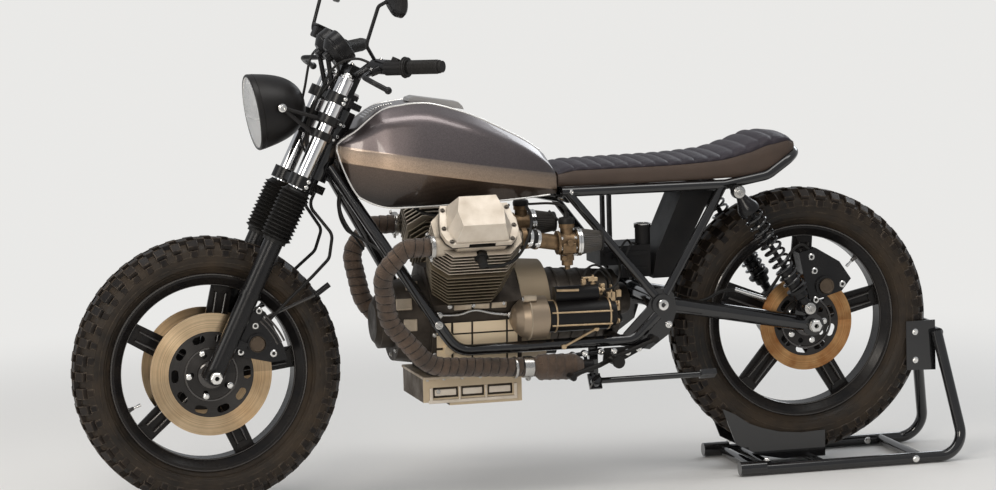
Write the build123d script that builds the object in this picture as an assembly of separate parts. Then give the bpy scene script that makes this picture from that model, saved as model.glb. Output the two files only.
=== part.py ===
from build123d import *
import os
from math import cos, radians, sin

os.makedirs("parts", exist_ok=True)

# Scrambler motorcycle standing in a wheel chock. Millimetres, X forward, Y to the left, Z up, floor at Z 0.

# Wheels and tyres
wheelbase = 1520.0
front_axle_x = 783.0
front_tyre_r = 331.0
rear_tyre_r = 335.0
front_tyre_half = 55.0
rear_tyre_half = 58.0
rim_r = 243.0
rim_half = 36.0
rim_wall = 7.0
rim_drop = 22.0
hub_r = 34.0
hub_half = 44.0
spoke_count = 5
front_spoke_turn = 30.0
rear_spoke_turn = 23.0
rib_thick = 8.0
rib_at_hub = 9.0
rib_at_rim = 12.5
web_half = 5.0
foot_half = 27.0
axle_r = 10.0
axle_bore_r = 6.0
axle_play = 0.05
lug_count = 48
lug_share = 0.8
lug_depth = 8.0
crown_half = 26.0
shoulder_drop = 11.0
shoulder_depth = 24.0

# Brakes
disc_r = 150.0
disc_inner_r = 104.0
disc_y = 60.0
disc_thick = 4.5
carrier_thick = 3.2
slot_edge = 6.0
slot_length = 32.0
slot_width = 18.0
hub_bolt_ring = 48.0
hub_window = 14.0
rear_disc_r = 121.0
rear_disc_inner_r = 84.0
rear_disc_y = 70.0
pad_gap = 5.0
caliper_in = 18.0
caliper_out = 30.0

# Fork and steering
rake = 26.5
fork_offset = 50.0
fork_half = 93.0
slider_r = 24.0
stanchion_r = 19.0
gaiter_low = 355.0
gaiter_high = 497.0
gaiter_r = 39.0
gaiter_ribs = 13
lower_yoke = (500.0, 530.0)
upper_yoke = (722.0, 748.0)
leg_top = 786.0
head_tube_r = 29.0
stem_r = 13.0
yoke_gap = 4.0
bar_r = 11.0
riser_y = 48.0
grip_r = 16.0
gauge_r = 42.0
gauge_half = 47.0
lamp_r = 93.0
lamp_depth = 120.0
lamp_tilt = -7.6
lamp_rim = 10.0
mirror_r = 47.0
hose_r = 4.0

# Engine: V of two cylinders across the frame
crank_z = 425.0
bank = 45.0
left_cylinder_x = 155.0
right_cylinder_x = 125.0
barrel_foot = 130.0
head_foot = 262.0
cover_foot = 352.0
cover_top = 414.0
barrel_fins = 9
head_fins = 7
fin_half_x = 106.0
barrel_half_x = 88.0
fin_half_b = 72.0
fin_thick = 3.0
fin_cut = 34.0
deck_half = 60.0
case_front = 243.0
case_back = 16.0
case_half = 112.0
case_low = 292.0
timing_length = 76.0
sump_low = 222.0
bell_r = 128.0
port_r = 24.0
port_reach = 112.0
port_height = 326.0
port_b = 30.0
intake_b = 12.0
intake_height = 316.0
plug_height = 325.0
starter_y = 150.0
starter_z = 433.0
starter_r = 39.0
nose_r = 53.0
header_r = 23.0
wrap_r = 31.0

# Frame tubes
cradle_y = 150.0
cradle_r = 14.0
cradle_z = 363.0
rail_y = 110.0
rail_r = 12.5
rail_z = 730.0
cross_r = 9.0
stay_r = 11.0
backbone_r = 20.0
pivot_x = -334.0
pivot_z = 446.0
arm_y = 112.0
arm_r = 20.0
shaft_y = -104.0
bevel_inner = 66.0
bevel_outer = 128.0
bevel_r = 72.0
shock_y = 150.0
spring_r = 28.0
spring_turns = 13

# Tank, seat and small pieces
tunnel_half = 38.0
lid_half = 26.0
guard_half = 65.0
guard_wall = 3.0
tray_x = -240.0

# Side stand
stand_x = -157.0
stand_z = 268.0
stand_tilt = 32.0
stand_length = 288.0
stand_pin_r = 6.0
stand_cheek = 8.0
stand_gap = 0.5

# Chock
chock_lift = 31.0
chock_y = 150.0
chock_r = 14.0
sleeve_r = 17.0
cross_tube_r = 12.0
chock_wall = 4.0
chock_play = 6.0
tread_gap = 5.5
bearer_r = 10.0

seat_gap = 0.3

front_axle_z = front_tyre_r
rear_axle_x = front_axle_x - wheelbase
rear_axle_z = rear_tyre_r + chock_lift
stand_y = cradle_y + 16

nodes = {}


def rod(start, end, radius):
    """Round bar from one point to another."""
    a = Vector(*start)
    b = Vector(*end)
    bar = Cylinder(radius, (b - a).length, align=(Align.CENTER, Align.CENTER, Align.MIN))
    return Plane(origin=a, z_dir=b - a) * bar


def tube(points, radius, bend):
    """Round bar along straight runs with bends of one radius, or one for each corner."""
    bends = bend if isinstance(bend, (list, tuple)) else [bend] * (len(points) - 2)
    path = FilletPolyline(*points, radius=bends if len(bends) > 1 else bends[0])
    return sweep(Plane(origin=path @ 0, z_dir=path % 0) * Circle(radius), path=path)


def post(radius, low, high):
    """Upright cylinder between two heights."""
    return Pos(0, 0, low) * Cylinder(radius, high - low, align=(Align.CENTER, Align.CENTER, Align.MIN))


def across(x, z, radius, y_low, y_high):
    """Round bar across the bike."""
    return rod((x, y_low, z), (x, y_high, z), radius)


def side_plate(outline, y_low, y_high):
    """Flat plate with an outline of (x, z) points between two values of y."""
    plane = Plane(origin=(0, y_high, 0), x_dir=(1, 0, 0), z_dir=(0, -1, 0))
    return extrude(plane * Polygon(*outline, align=None), y_high - y_low, dir=(0, -1, 0))


def along_x(outline, x_low, x_high):
    """Prism with an outline of (y, z) points between two values of x."""
    plane = Plane(origin=(x_low, 0, 0), x_dir=(0, 1, 0), z_dir=(1, 0, 0))
    return extrude(plane * Polygon(*outline, align=None), x_high - x_low, dir=(1, 0, 0))


def disc_at(x, y, z, radius):
    """Circle facing forward, for lofts along the engine."""
    return Plane(origin=(x, y, z), z_dir=(1, 0, 0)) * Circle(radius)


def turned(outline):
    """Solid of revolution about Y from (radius, y) points."""
    return revolve(make_face(Polyline(*outline, close=True)), Axis.Y)


def turned_z(outline):
    """Solid of revolution about Z from (radius, z) points."""
    return revolve(Plane.XZ * make_face(Polyline(*outline, close=True)), Axis.Z)


def block(x, y, z):
    """Box between low and high values on each axis."""
    size = (x[1] - x[0], y[1] - y[0], z[1] - z[0])
    return Pos(x[0], y[0], z[0]) * Box(*size, align=(Align.MIN, Align.MIN, Align.MIN))


def mirrored(shape):
    """The same piece on the other side of the bike."""
    return mirror(shape, about=Plane.XZ)


def both(shape):
    """A piece with its twin on the other side, as solids that do not touch."""
    return Compound(children=[shape, mirrored(shape)])


def symmetric(half):
    """Closed outline from the (y, z) points of its left half, bottom to top."""
    return half + [(-y, z) for y, z in half[::-1]]


def rounded_section(x, half, radii):
    """Upright section at x from the points of its left half, with one corner radius for each point."""
    outline = FilletPolyline(*symmetric(half), radius=radii + radii[::-1], close=True)
    plane = Plane(origin=(x, 0, 0), x_dir=(0, 1, 0), z_dir=(1, 0, 0))
    return plane * make_face(outline)


def chamfered(half_u, half_v, cut):
    """Outline of a rectangle with cut corners."""
    points = []
    for su, sv in [(1, 1), (-1, 1), (-1, -1), (1, -1)]:
        near_u = (su * half_u, sv * (half_v - cut))
        near_v = (su * (half_u - cut), sv * half_v)
        points += [near_u, near_v] if su * sv > 0 else [near_v, near_u]
    return points


# Fork frame: local X forward square to the legs, local Y to the left, local Z up along the legs from the axle
fork = Plane(
    origin=(front_axle_x, 0, front_axle_z),
    x_dir=(cos(radians(rake)), 0, sin(radians(rake))),
    z_dir=(-sin(radians(rake)), 0, cos(radians(rake))),
)


def on_fork(f, y, s):
    """Point in the bike's frame from fork coordinates."""
    sr, cr = sin(radians(rake)), cos(radians(rake))
    return (front_axle_x + f * cr - s * sr, y, front_axle_z + f * sr + s * cr)


def polar(centre_x, centre_z, radius, angle):
    """Point (x, z) round an axle."""
    return (centre_x + radius * cos(radians(angle)), centre_z + radius * sin(radians(angle)))


# Wheels
def make_rim(turn_of_spokes, reach_left, reach_right):
    """Cast wheel: rim channel, hub and five spokes, each two ribs with a web between them and a flared foot."""
    well = rim_r - rim_drop
    inside = well - rim_wall
    half = rim_half
    channel = turned([
        (rim_r, half), (rim_r, half - 6), (rim_r - 14, half - 10), (well, half - 20), (well, 20 - half),
        (rim_r - 14, 10 - half), (rim_r, 6 - half), (rim_r, -half), (rim_r - 9, -half),
        (inside, 14 - half), (inside, half - 14), (rim_r - 9, half),
    ])
    hub = turned([
        (axle_r + axle_play, -reach_right), (hub_r, -reach_right), (hub_r, -hub_half), (hub_r + 10, 14 - hub_half),
        (hub_r + 10, hub_half - 14), (hub_r, hub_half), (hub_r, reach_left), (axle_r + axle_play, reach_left),
    ])
    wheel = channel + hub
    reach = inside + 3
    for number in range(spoke_count):
        turn = Rot(0, -turn_of_spokes - 360 / spoke_count * number, 0)
        for side in (-1, 1):
            rib = loft([
                Plane(origin=(hub_r + 4, 0, side * rib_at_hub), z_dir=(1, 0, 0)) * Rectangle(40, rib_thick),
                Plane(origin=(reach, 0, side * rib_at_rim), z_dir=(1, 0, 0)) * Rectangle(26, rib_thick),
            ])
            wheel += turn * rib
        web = [(hub_r + 4, rib_at_hub), (reach - 12, rib_at_rim), (reach - 12, -rib_at_rim), (hub_r + 4, -rib_at_hub)]
        wheel += turn * side_plate(web, -web_half, web_half)
        foot = [(reach - 22, rib_at_rim), (reach, foot_half), (reach, -foot_half), (reach - 22, -rib_at_rim)]
        wheel += turn * side_plate(foot, -9, 9)
    return wheel


def tread_face(y, top, root):
    """Toothed outline across the wheel at one y: flat lugs that touch the top radius, parted down to the root."""
    half_lug = 180 / lug_count * lug_share
    corner = top / cos(radians(half_lug))
    points = []
    for number in range(lug_count):
        middle = 360 / lug_count * number
        points += [polar(0, 0, root, middle - half_lug), polar(0, 0, corner, middle - half_lug)]
        points += [polar(0, 0, corner, middle + half_lug), polar(0, 0, root, middle + half_lug)]
    return Plane(origin=(0, y, 0), x_dir=(1, 0, 0), z_dir=(0, -1, 0)) * Polygon(*points, align=None)


def make_tyre(radius, half):
    """Tyre carcass with a crown and shoulders of block lugs."""
    under = radius - shoulder_depth - 4
    side = [(rim_r - 13, rim_half - 10.2), (rim_r + 1, rim_half - 6.2), (rim_r + 27, half - 5), (under, half)]
    carcass = turned(side + [(r, -y) for r, y in side[::-1]])
    crown = tread_face(-crown_half, radius, radius - lug_depth)
    tread = extrude(crown, 2 * crown_half, dir=(0, 1, 0))
    for way in (-1, 1):
        inner = tread_face(way * crown_half, radius, radius - lug_depth)
        outer = tread_face(way * (half - 2), radius - shoulder_drop, radius - shoulder_depth)
        tread += loft([inner, outer], ruled=True)
    return carcass + (tread - Rot(90, 0, 0) * Cylinder(under - 6, 3 * half))


def make_disc(outer, inner, y, slot_count):
    """Brake ring on a thinner carrier with oval slots, and round windows between its five bolts."""
    slot = Pos(inner - slot_edge - slot_width / 2, 0) * Rot(0, 0, 90) * SlotOverall(slot_length, slot_width)
    window = Pos(hub_bolt_ring, 0) * Circle(hub_window / 2)
    carrier = Circle(inner + 1) - Circle(hub_r + seat_gap)
    for number in range(slot_count):
        carrier -= Rot(0, 0, 360 / slot_count * number) * slot
    for number in range(spoke_count):
        carrier -= Rot(0, 0, 360 / spoke_count * number) * window
    ring = extrude(Circle(outer) - Circle(inner), disc_thick / 2, both=True)
    plate = extrude(carrier, carrier_thick / 2, both=True)
    return Pos(0, y, 0) * Rot(90, 0, 0) * (ring + plate)


at_front = Pos(front_axle_x, 0, front_axle_z)
at_rear = Pos(rear_axle_x, 0, rear_axle_z)
nodes["front_rim"] = at_front * make_rim(front_spoke_turn, disc_y + 4, disc_y + 4)
nodes["front_tyre"] = at_front * make_tyre(front_tyre_r, front_tyre_half)
nodes["front_discs"] = at_front * both(make_disc(disc_r, disc_inner_r, disc_y, 10))
nodes["rear_rim"] = at_rear * make_rim(rear_spoke_turn, rear_disc_y + 7, bevel_inner - 6)
nodes["rear_tyre"] = at_rear * make_tyre(rear_tyre_r, rear_tyre_half)
nodes["rear_disc"] = at_rear * make_disc(rear_disc_r, rear_disc_inner_r, rear_disc_y, 9)


# Fork legs, gaiters and axle
def make_leg():
    """Slider with axle lug, neck ring and caliper lugs, and the bright stanchion above it."""
    leg = post(slider_r, -14, gaiter_low + 20) + post(stanchion_r, 0, leg_top) + post(13, leg_top, leg_top + 8)
    leg += post(slider_r + 2.5, 210, 222) + Rot(90, 0, 0) * Cylinder(21, 2 * slider_r - 2)
    for height in (95, 170):
        leg += Pos(-slider_r - 6, 0, height) * Box(28, 16, 22)
    leg -= Rot(90, 0, 0) * Cylinder(axle_r, 80)
    return leg


left_leg = fork * (Pos(0, fork_half, 0) * make_leg())
nodes["fork_leg_left"] = left_leg
nodes["fork_leg_right"] = mirrored(left_leg)


def make_gaiter():
    """Ribbed rubber boot from the slider's neck to the lower yoke."""
    length = gaiter_high - gaiter_low
    pitch = (length - 16) / gaiter_ribs
    outline = [(slider_r + seat_gap, 0), (slider_r + 5, 0), (slider_r + 5, 8)]
    for number in range(gaiter_ribs):
        base = 8 + pitch * number
        outline += [(gaiter_r - 7, base + pitch * 0.2), (gaiter_r, base + pitch * 0.6)]
    outline += [(gaiter_r - 8, length - 8), (stanchion_r + 6, length), (stanchion_r + seat_gap, length),
                (stanchion_r + seat_gap, 26), (slider_r + seat_gap, 26)]
    return turned_z(outline)


nodes["fork_gaiters"] = both(fork * (Pos(0, fork_half, gaiter_low) * make_gaiter()))

axle_end = fork_half + slider_r + 6
axle = Rot(90, 0, 0) * Cylinder(axle_r, 2 * axle_end)
for side in (-1, 1):
    axle += Pos(0, side * (axle_end + 4), 0) * Rot(90, 0, 0) * Cylinder(15, 10)
axle -= Rot(90, 0, 0) * Cylinder(axle_bore_r, 2 * axle_end + 60)
nodes["front_axle"] = at_front * axle


# Yokes with the stem, bar risers and gauge cups
def make_yoke(span, nose):
    """One fork clamp plate with its two split clamps."""
    low, high = span
    plate = Polygon((-fork_offset - 30, -26), (-fork_offset - 30, 26), (-14, fork_half + 28), (nose, fork_half + 22),
                    (nose - 20, 0), (nose, -fork_half - 22), (-14, -fork_half - 28), align=None)
    solid = Pos(0, 0, low + 5) * extrude(plate, high - low - 10, dir=(0, 0, 1))
    for side in (-1, 1):
        solid += Pos(0, side * fork_half, 0) * post(stanchion_r + 11, low, high)
        solid -= Pos(0, side * fork_half, 0) * post(stanchion_r, low - 5, high + 5)
    return solid


head_low = lower_yoke[1] + yoke_gap
head_high = upper_yoke[0] - yoke_gap
stem_at = Pos(-fork_offset, 0, 0)
yokes = make_yoke(lower_yoke, 18) + make_yoke(upper_yoke, 20)
yokes += stem_at * post(stem_r, lower_yoke[0] - 6, upper_yoke[1] + 10)
yokes += stem_at * post(20, upper_yoke[1], upper_yoke[1] + 12)

# Handlebar in fork coordinates, from the middle to the left end: forward, sideways, up along the legs
bar_rows = [(-24, 0, 808), (-24, 92, 808), (-13, 215, 837), (-41, 315, 852), (-119.5, 405, 896.5)]
bar_bends = [70, 60, 60]
bar_centre = bar_rows[0]
for side in (-1, 1):
    riser = block((-17, 17), (-13, 13), (upper_yoke[1] - 6, bar_centre[2] + 18))
    riser -= Pos(0, 0, bar_centre[2]) * Rot(90, 0, 0) * Cylinder(bar_r, 40)
    yokes += Pos(bar_centre[0], side * riser_y, 0) * riser
yokes = fork * yokes
gauge_way = Vector(-0.82, 0, 0.573).normalized()
for side in (-1, 1):
    gauge_mid = Vector(*on_fork(38.4, side * gauge_half, 845.7))
    cup_start = gauge_mid - gauge_way * 38
    yokes += rod(tuple(cup_start), tuple(gauge_mid - gauge_way * (26 + seat_gap)), 14)
    yokes += rod(on_fork(0, side * 40, upper_yoke[1] - 8), tuple(cup_start + gauge_way * 6), 6)
nodes["fork_yokes"] = yokes

bar_half = [on_fork(*row) for row in bar_rows[1:]]
bar_points = [(x, -y, z) for x, y, z in bar_half[::-1]] + bar_half
bar = tube(bar_points, bar_r, bar_bends[::-1] + bar_bends)
nodes["handlebar"] = bar

grip_a = Vector(*bar_half[-2])
grip_b = Vector(*bar_half[-1])
grip_way = (grip_b - grip_a).normalized()
grip_length = (grip_b - grip_a).length


def along_grip(distance):
    """Point on the left grip's centre line, measured from its inner end."""
    return tuple(grip_a + grip_way * distance)


grip = rod(along_grip(38), along_grip(grip_length), grip_r)
grip += rod(along_grip(32), along_grip(39), grip_r + 8)
grip += rod(along_grip(grip_length - 1), along_grip(grip_length + 8), grip_r - 2)
grip -= rod(along_grip(-40), along_grip(grip_length), bar_r)
nodes["grips"] = both(grip)

# Lever perch with its clamp, lever and ball end
perch_start, perch_end = on_fork(-17.8, 232, 839.3), on_fork(-35.9, 296, 849)
perch = rod(perch_start, perch_end, 18)
bar_run = rod(on_fork(-10.3, 205, 835.2), on_fork(-44, 325, 853.4), bar_r)
lever_rows = [(-4, 277, 818.8), (22.8, 340, 801), (3.1, 385, 797.4), (-27.3, 412, 794.6)]
lever_points = [on_fork(*row) for row in lever_rows]
clamp = perch + rod(on_fork(-30.5, 277, 846), lever_points[0], 10)
clamp += tube(lever_points, 6.5, 30) + Pos(*lever_points[-1]) * Sphere(9)
nodes["hand_levers"] = both(clamp - bar_run - bar)

mirror_face = Plane(origin=on_fork(19.9, 335, 1005.8), z_dir=(0.93, 0.2, -0.12))
mirror_shell = mirror_face * turned_z([(0, 0), (mirror_r - 3, 0), (mirror_r, 5), (mirror_r - 5, 16), (26, 26), (0, 30)])
stem_rows = [(-4.5, 248, 853.7), (38.8, 300, 873.4), (53, 312, 969.2), (36.9, 330, 995.1)]
mirror_stem = tube([on_fork(*row) for row in stem_rows], 4.5, [20, 14])
nodes["mirrors"] = both(mirror_shell + mirror_stem - perch)

# Gauges on the upper yoke
gauge_tilt = Plane(origin=on_fork(38.4, gauge_half, 845.7), z_dir=gauge_way)
gauge = gauge_tilt * turned_z([(0, -26), (26, -26), (gauge_r - 3, -12), (gauge_r, 0), (gauge_r, 18),
                               (gauge_r - 3, 21), (gauge_r - 5, 17), (0, 17)])
nodes["gauges"] = both(gauge)

# Headlamp bowl with its V brackets on the fork legs, and the lens
lamp_way = (cos(radians(lamp_tilt)), 0, sin(radians(lamp_tilt)))
lamp = Plane(origin=on_fork(150, 0, 625.8), z_dir=lamp_way)
lens_r = lamp_r - 7
bowl = lamp * turned_z([
    (lamp_r, 0), (lamp_r, lamp_rim), (lens_r, lamp_rim), (lens_r, 0), (0, 0), (0, -lamp_depth), (28, 3 - lamp_depth),
    (56, 22 - lamp_depth), (76, 52 - lamp_depth), (lamp_r - 7, 82 - lamp_depth), (lamp_r - 2, -8),
])
glass = lamp * turned_z([(0, seat_gap), (lens_r - seat_gap, seat_gap), (lens_r - seat_gap, 8), (60, 16), (30, 20), (0, 21)])
bolt_f, bolt_s = 116.4, 659.3
for side in (-1, 1):
    eye = on_fork(bolt_f, side * fork_half, bolt_s)
    for s in (bolt_s - 25, bolt_s + 14):
        ring = fork * (Pos(0, side * fork_half, 0) * post(stanchion_r + 6, s - 6, s + 6))
        bowl += ring + rod(on_fork(stanchion_r + 3, side * fork_half, s), eye, 5)
    bowl += rod(on_fork(bolt_f, side * (lamp_r - 17), bolt_s), on_fork(bolt_f, side * (fork_half + 6), bolt_s), 9)
    bowl -= fork * (Pos(0, side * fork_half, 0) * post(stanchion_r, 600, 720))
nodes["headlamp_bowl"] = bowl
nodes["headlamp_glass"] = glass


# Calipers: cheeks on both sides of the disc, bridged beyond its edge, with a round piston housing
def make_caliper(outline, edge_r, y, puck):
    """Caliper about the axle from (distance beyond the disc's edge, angle) points."""
    points = [polar(0, 0, edge_r + beyond, angle) for beyond, angle in outline]
    body = side_plate(points, y - caliper_in, y + caliper_out)
    body -= across(0, 0, edge_r + pad_gap, y - disc_thick / 2 - pad_gap, y + disc_thick / 2 + pad_gap)
    puck_x, puck_z = polar(0, 0, edge_r + puck[0], puck[1])
    body += across(puck_x, puck_z, 25, y + caliper_out - 1, y + caliper_out + 7)
    body += across(puck_x, puck_z, 19, y + caliper_out, y + caliper_out + 10)
    return body


front_outline = [(46, 122), (49, 132), (41, 141), (36, 161), (35, 171), (-6, 170), (-53, 157), (-73, 138), (-47, 130),
                 (17, 124)]
front_caliper = at_front * make_caliper(front_outline, disc_r, disc_y, (-18, 147)) - left_leg
pipe_start = on_fork(-62, disc_y + 15, 178)
pipe_mid, pipe_end = on_fork(-154, disc_y + 15, 279), on_fork(-174, disc_y + 15, 315)
pipe = rod(pipe_start, pipe_mid, 4) + rod(pipe_mid, pipe_end, 7)
nodes["front_calipers"] = Compound(children=[front_caliper + pipe, mirrored(front_caliper)])

# Brake hoses from the lower yoke to the calipers, in fork coordinates: forward, sideways, up along the legs
hose_rows = [(-58, 30, lower_yoke[0] + 5 - seat_gap), (-58, 30, lower_yoke[0] - 30), (-134, 62, 429), (-146, 82, 373),
             (-124, 92, 318), (-94, 92, 245), (-71, 84, 176)]
hose = tube([on_fork(*row) for row in hose_rows], hose_r, 30)
nodes["brake_hoses"] = both(hose - front_caliper - pipe)

# Head stock: head tube, backbone and gusset
head_bottom = on_fork(-fork_offset, 0, head_low)
head_top = on_fork(-fork_offset, 0, head_high)
backbone_start = on_fork(-fork_offset, 0, (head_low + head_high) / 2 - 20)
backbone_end = (-118.0, 0.0, rail_z - 14)
head_stock = rod(head_bottom, head_top, head_tube_r) + rod(backbone_start, backbone_end, backbone_r)
head_stock += side_plate([on_fork(-fork_offset, 0, head_low + 8)[::2], on_fork(-fork_offset, 0, head_low + 80)[::2],
                          (330, 810), (400, 745)], -16, 16)
head_stock -= rod(on_fork(-fork_offset, 0, head_low - 30), on_fork(-fork_offset, 0, head_high + 30), stem_r + 0.4)
head_stock += across(backbone_end[0], backbone_end[2], 13, 20 - rail_y, rail_y - 20)
nodes["head_stock"] = head_stock

# Cradle: down tube, lower rail and pivot plate on each side, with the side stand's bracket on the left
down_bend = (240.0, cradle_y, cradle_z + 74)
rail_back = (-262.0, cradle_y, cradle_z)
plate_toe = (pivot_x + 12, cradle_y, pivot_z - 26)
cradle = tube([on_fork(-66, 31, 577), down_bend, (188, cradle_y, cradle_z), rail_back, plate_toe], cradle_r, [60, 60, 45])
plate_rows = [(-32, 24), (-18, 40), (16, 40), (38, -6), (98, -66), (108, -97), (34, -110), (-18, -74), (-38, -16)]
cradle += side_plate([(pivot_x + x, pivot_z + z) for x, z in plate_rows], cradle_y - 4, cradle_y + 4)
cradle += across(pivot_x, pivot_z, 26, arm_y + arm_r + 1, cradle_y + 12)
cradle += across(pivot_x, pivot_z, 15, cradle_y + 12, cradle_y + 17)
left_cradle = cradle - head_stock
nodes["frame_cradle_right"] = mirrored(left_cradle)
stand_hinge = Plane(
    origin=(stand_x, stand_y, stand_z),
    x_dir=(1, 0, 0),
    z_dir=(0, cos(radians(stand_tilt)), sin(radians(stand_tilt))),
)
foot_of_pin = -stand_cheek - stand_gap - 3
bracket = Pos(0, -4, foot_of_pin) * Box(32, 40, 6)
bracket += post(stand_pin_r, foot_of_pin, stand_cheek + stand_gap + 2)
bracket += post(10, stand_cheek + stand_gap, stand_cheek + stand_gap + 3)
bracket = stand_hinge * bracket
bracket += block((stand_x - 11, stand_x + 11), (cradle_y - 10, cradle_y), (stand_z + 4, cradle_z))
nodes["frame_cradle_left"] = left_cradle + bracket

# Seat rails with the rear loop, cross tubes and shock studs, and the V stays
shock_top = (rear_axle_x + 199, rail_z - 16)
shock_foot = (rear_axle_x + 19, rear_axle_z + 47)
rail_half = [(-712, rail_y - 10, rail_z + 70), (-630, rail_y, rail_z + 18), (-520, rail_y, rail_z), (-96, rail_y, rail_z + 3)]
rails = tube([(x, y, z) for x, y, z in rail_half[::-1]] + [(x, -y, z) for x, y, z in rail_half], rail_r,
             [60, 60, 45, 45, 60, 60])
for x in (backbone_end[0], tray_x, pivot_x + 4, -500):
    rails += across(x, rail_z + 1, cross_r, -rail_y, rail_y)
for side in (-1, 1):
    rails += rod((shock_top[0], side * rail_y, shock_top[1] + 6), (shock_top[0], side * (shock_y - 11), shock_top[1]), 9)
rails -= head_stock
nodes["seat_rails"] = rails
stay = rod((-112, rail_y, rail_z), (pivot_x + 16, cradle_y, pivot_z + 22), stay_r)
stay += rod((-514, rail_y, rail_z), (pivot_x - 10, cradle_y, pivot_z + 24), stay_r)
nodes["frame_stays"] = both(stay - rails - left_cradle)

# Crankcase with cast panels, timing cover and alternator cover
deck = barrel_foot * sin(radians(bank))
half_seat = deck_half * sin(radians(bank))
case_side = [(case_half, 322), (case_half + 8, 430), (deck + half_seat, crank_z + deck - half_seat)]
case_half_outline = [(case_half - 16, case_low)] + case_side + [(deck - half_seat, crank_z + deck + half_seat)]
crankcase = along_x(symmetric(case_half_outline), case_back, case_front)
crankcase += loft([disc_at(case_front, 0, crank_z, 110), disc_at(case_front + timing_length, 0, crank_z, 98)])
timing_front = case_front + timing_length
crankcase += rod((timing_front, 0, crank_z), (timing_front + 34, 0, crank_z), 66)
crankcase += loft([disc_at(timing_front + 34, 0, crank_z, 62), disc_at(timing_front + 46, 0, crank_z, 48)])
panel_columns = [(28, 52), (57, 140), (145, 190), (196, 232)]
panel_rows = [(332, 362), (368, 398), (402, 428)]
panel_proud = 4.0


def case_face(z):
    """Half width of the crankcase's side between its lower corner and its middle."""
    (low_y, low_z), (high_y, high_z) = case_side[:2]
    return low_y + (z - low_z) * (high_y - low_y) / (high_z - low_z)


for x_low, x_high in panel_columns:
    for z_low, z_high in panel_rows:
        outline = [(case_face(z_low) - 2, z_low), (case_face(z_low) + panel_proud, z_low),
                   (case_face(z_high) + panel_proud, z_high), (case_face(z_high) - 2, z_high)]
        panel = along_x(outline, x_low, x_high)
        crankcase += [panel, mirrored(panel)]

# Sump with three windows on each side and cooling fins below
sump_half = 104.0
sump = block((case_back, 266), (-sump_half, sump_half), (sump_low, case_low))
sump -= block((200, 300), (-120, 120), (sump_low - 10, sump_low + 10))
for x_low, x_high in [(40, 103), (112, 170), (178, 241)]:
    window = block((x_low, x_high), (sump_half - 5, sump_half + 5), (sump_low + 20, case_low - 24))
    sump -= [window, mirrored(window)]
for number in range(7):
    groove_mid = (number - 3) * 26
    sump -= block((case_back - 5, 195), (groove_mid - 7, groove_mid + 7), (sump_low - 5, sump_low + 12))
nodes["sump"] = sump

# Gearbox: bell housing, tapering case with ribs, and output boss
gear_z = crank_z + 10
gearbox = loft([disc_at(case_back, 0, gear_z, bell_r), disc_at(-60, 0, gear_z, bell_r - 6)])
gearbox += loft([disc_at(-60, 0, gear_z, 100), disc_at(-250, 0, gear_z + 2, 84)])
for x in (-92, -126, -160, -194, -228):
    gearbox += rod((x - 3, 0, gear_z), (x + 3, 0, gear_z), 103 + (x + 60) * 16 / 190)
gearbox += rod((-250, -40, gear_z + 2), (-292, -52, gear_z + 4), 40)

# Starter with its bright nose and the relay above it
starter = rod((-200, starter_y, starter_z), (-30, starter_y, starter_z), starter_r)
starter += rod((-212, starter_y, starter_z), (-199, starter_y, starter_z), starter_r - 7)
starter += Plane(origin=(-34, starter_y, starter_z), z_dir=(1, 0, 0)) * turned_z(
    [(0, 0), (nose_r, 0), (nose_r, 44), (nose_r - 8, 62), (30, 78), (14, 86), (0, 88)])
starter += rod((-168, starter_y + 6, starter_z + starter_r + 16), (-58, starter_y + 6, starter_z + starter_r + 16), 19)
lug_reach = cradle_y - cradle_r - seat_gap
crankcase += across(205, cradle_z, 12, -lug_reach, lug_reach)
gearbox += across(-225, cradle_z, 13, -lug_reach, lug_reach)
nodes["crankcase"] = crankcase - starter
nodes["gearbox"] = gearbox - starter
nodes["starter_motor"] = starter


# Cylinders: local X forward, local Y outward and down, local Z along the bore from the crank
def bank_plane(x):
    """Plane of the left cylinder."""
    s, c = sin(radians(bank)), cos(radians(bank))
    return Plane(origin=(x, 0, crank_z), x_dir=(1, 0, 0), z_dir=(0, s, c))


def bank_point(b, height):
    """Values of y and z for a point in the left cylinder's plane."""
    s, c = sin(radians(bank)), cos(radians(bank))
    return (height * s + b * c, crank_z + height * c - b * s)


def slab(outline, low, high):
    """Prism with an (x, b) outline between two heights above the crank."""
    return Pos(0, 0, low) * extrude(Polygon(*outline, align=None), high - low, dir=(0, 0, 1))


def make_barrel():
    """Finned barrel on the crankcase deck, its fins growing outwards."""
    length = head_foot - barrel_foot
    barrel = slab(chamfered(62, 56, 18), barrel_foot, head_foot)
    for number in range(barrel_fins):
        low = barrel_foot + 16 + number * (length - 20) / barrel_fins
        half_x = barrel_half_x + number / (barrel_fins - 1) * (fin_half_x - barrel_half_x)
        barrel += slab(chamfered(half_x, fin_half_b - 2, fin_cut), low, low + fin_thick)
    return barrel


def make_head():
    """Finned head with ports fore and aft and a plug pocket in its lower side."""
    length = cover_foot - head_foot
    head = slab(chamfered(78, 60, 20), head_foot, cover_foot)
    for number in range(head_fins):
        low = head_foot + 4 + number * (length - 10) / head_fins
        head += slab(chamfered(fin_half_x, fin_half_b, fin_cut), low, low + fin_thick)
    pocket = Pos(0, 54, plug_height) * Rot(-90, 0, 0) * post(18, 0, 30)
    head -= pocket
    head += Pos(0, 50, plug_height) * Rot(-90, 0, 0) * post(8, 0, 22)
    head += Pos(0, port_b, port_height) * Rot(0, 90, 0) * post(port_r, 0, port_reach)
    head += Pos(0, intake_b, intake_height) * Rot(0, -90, 0) * post(port_r - 4, 0, port_reach)
    return head


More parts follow.
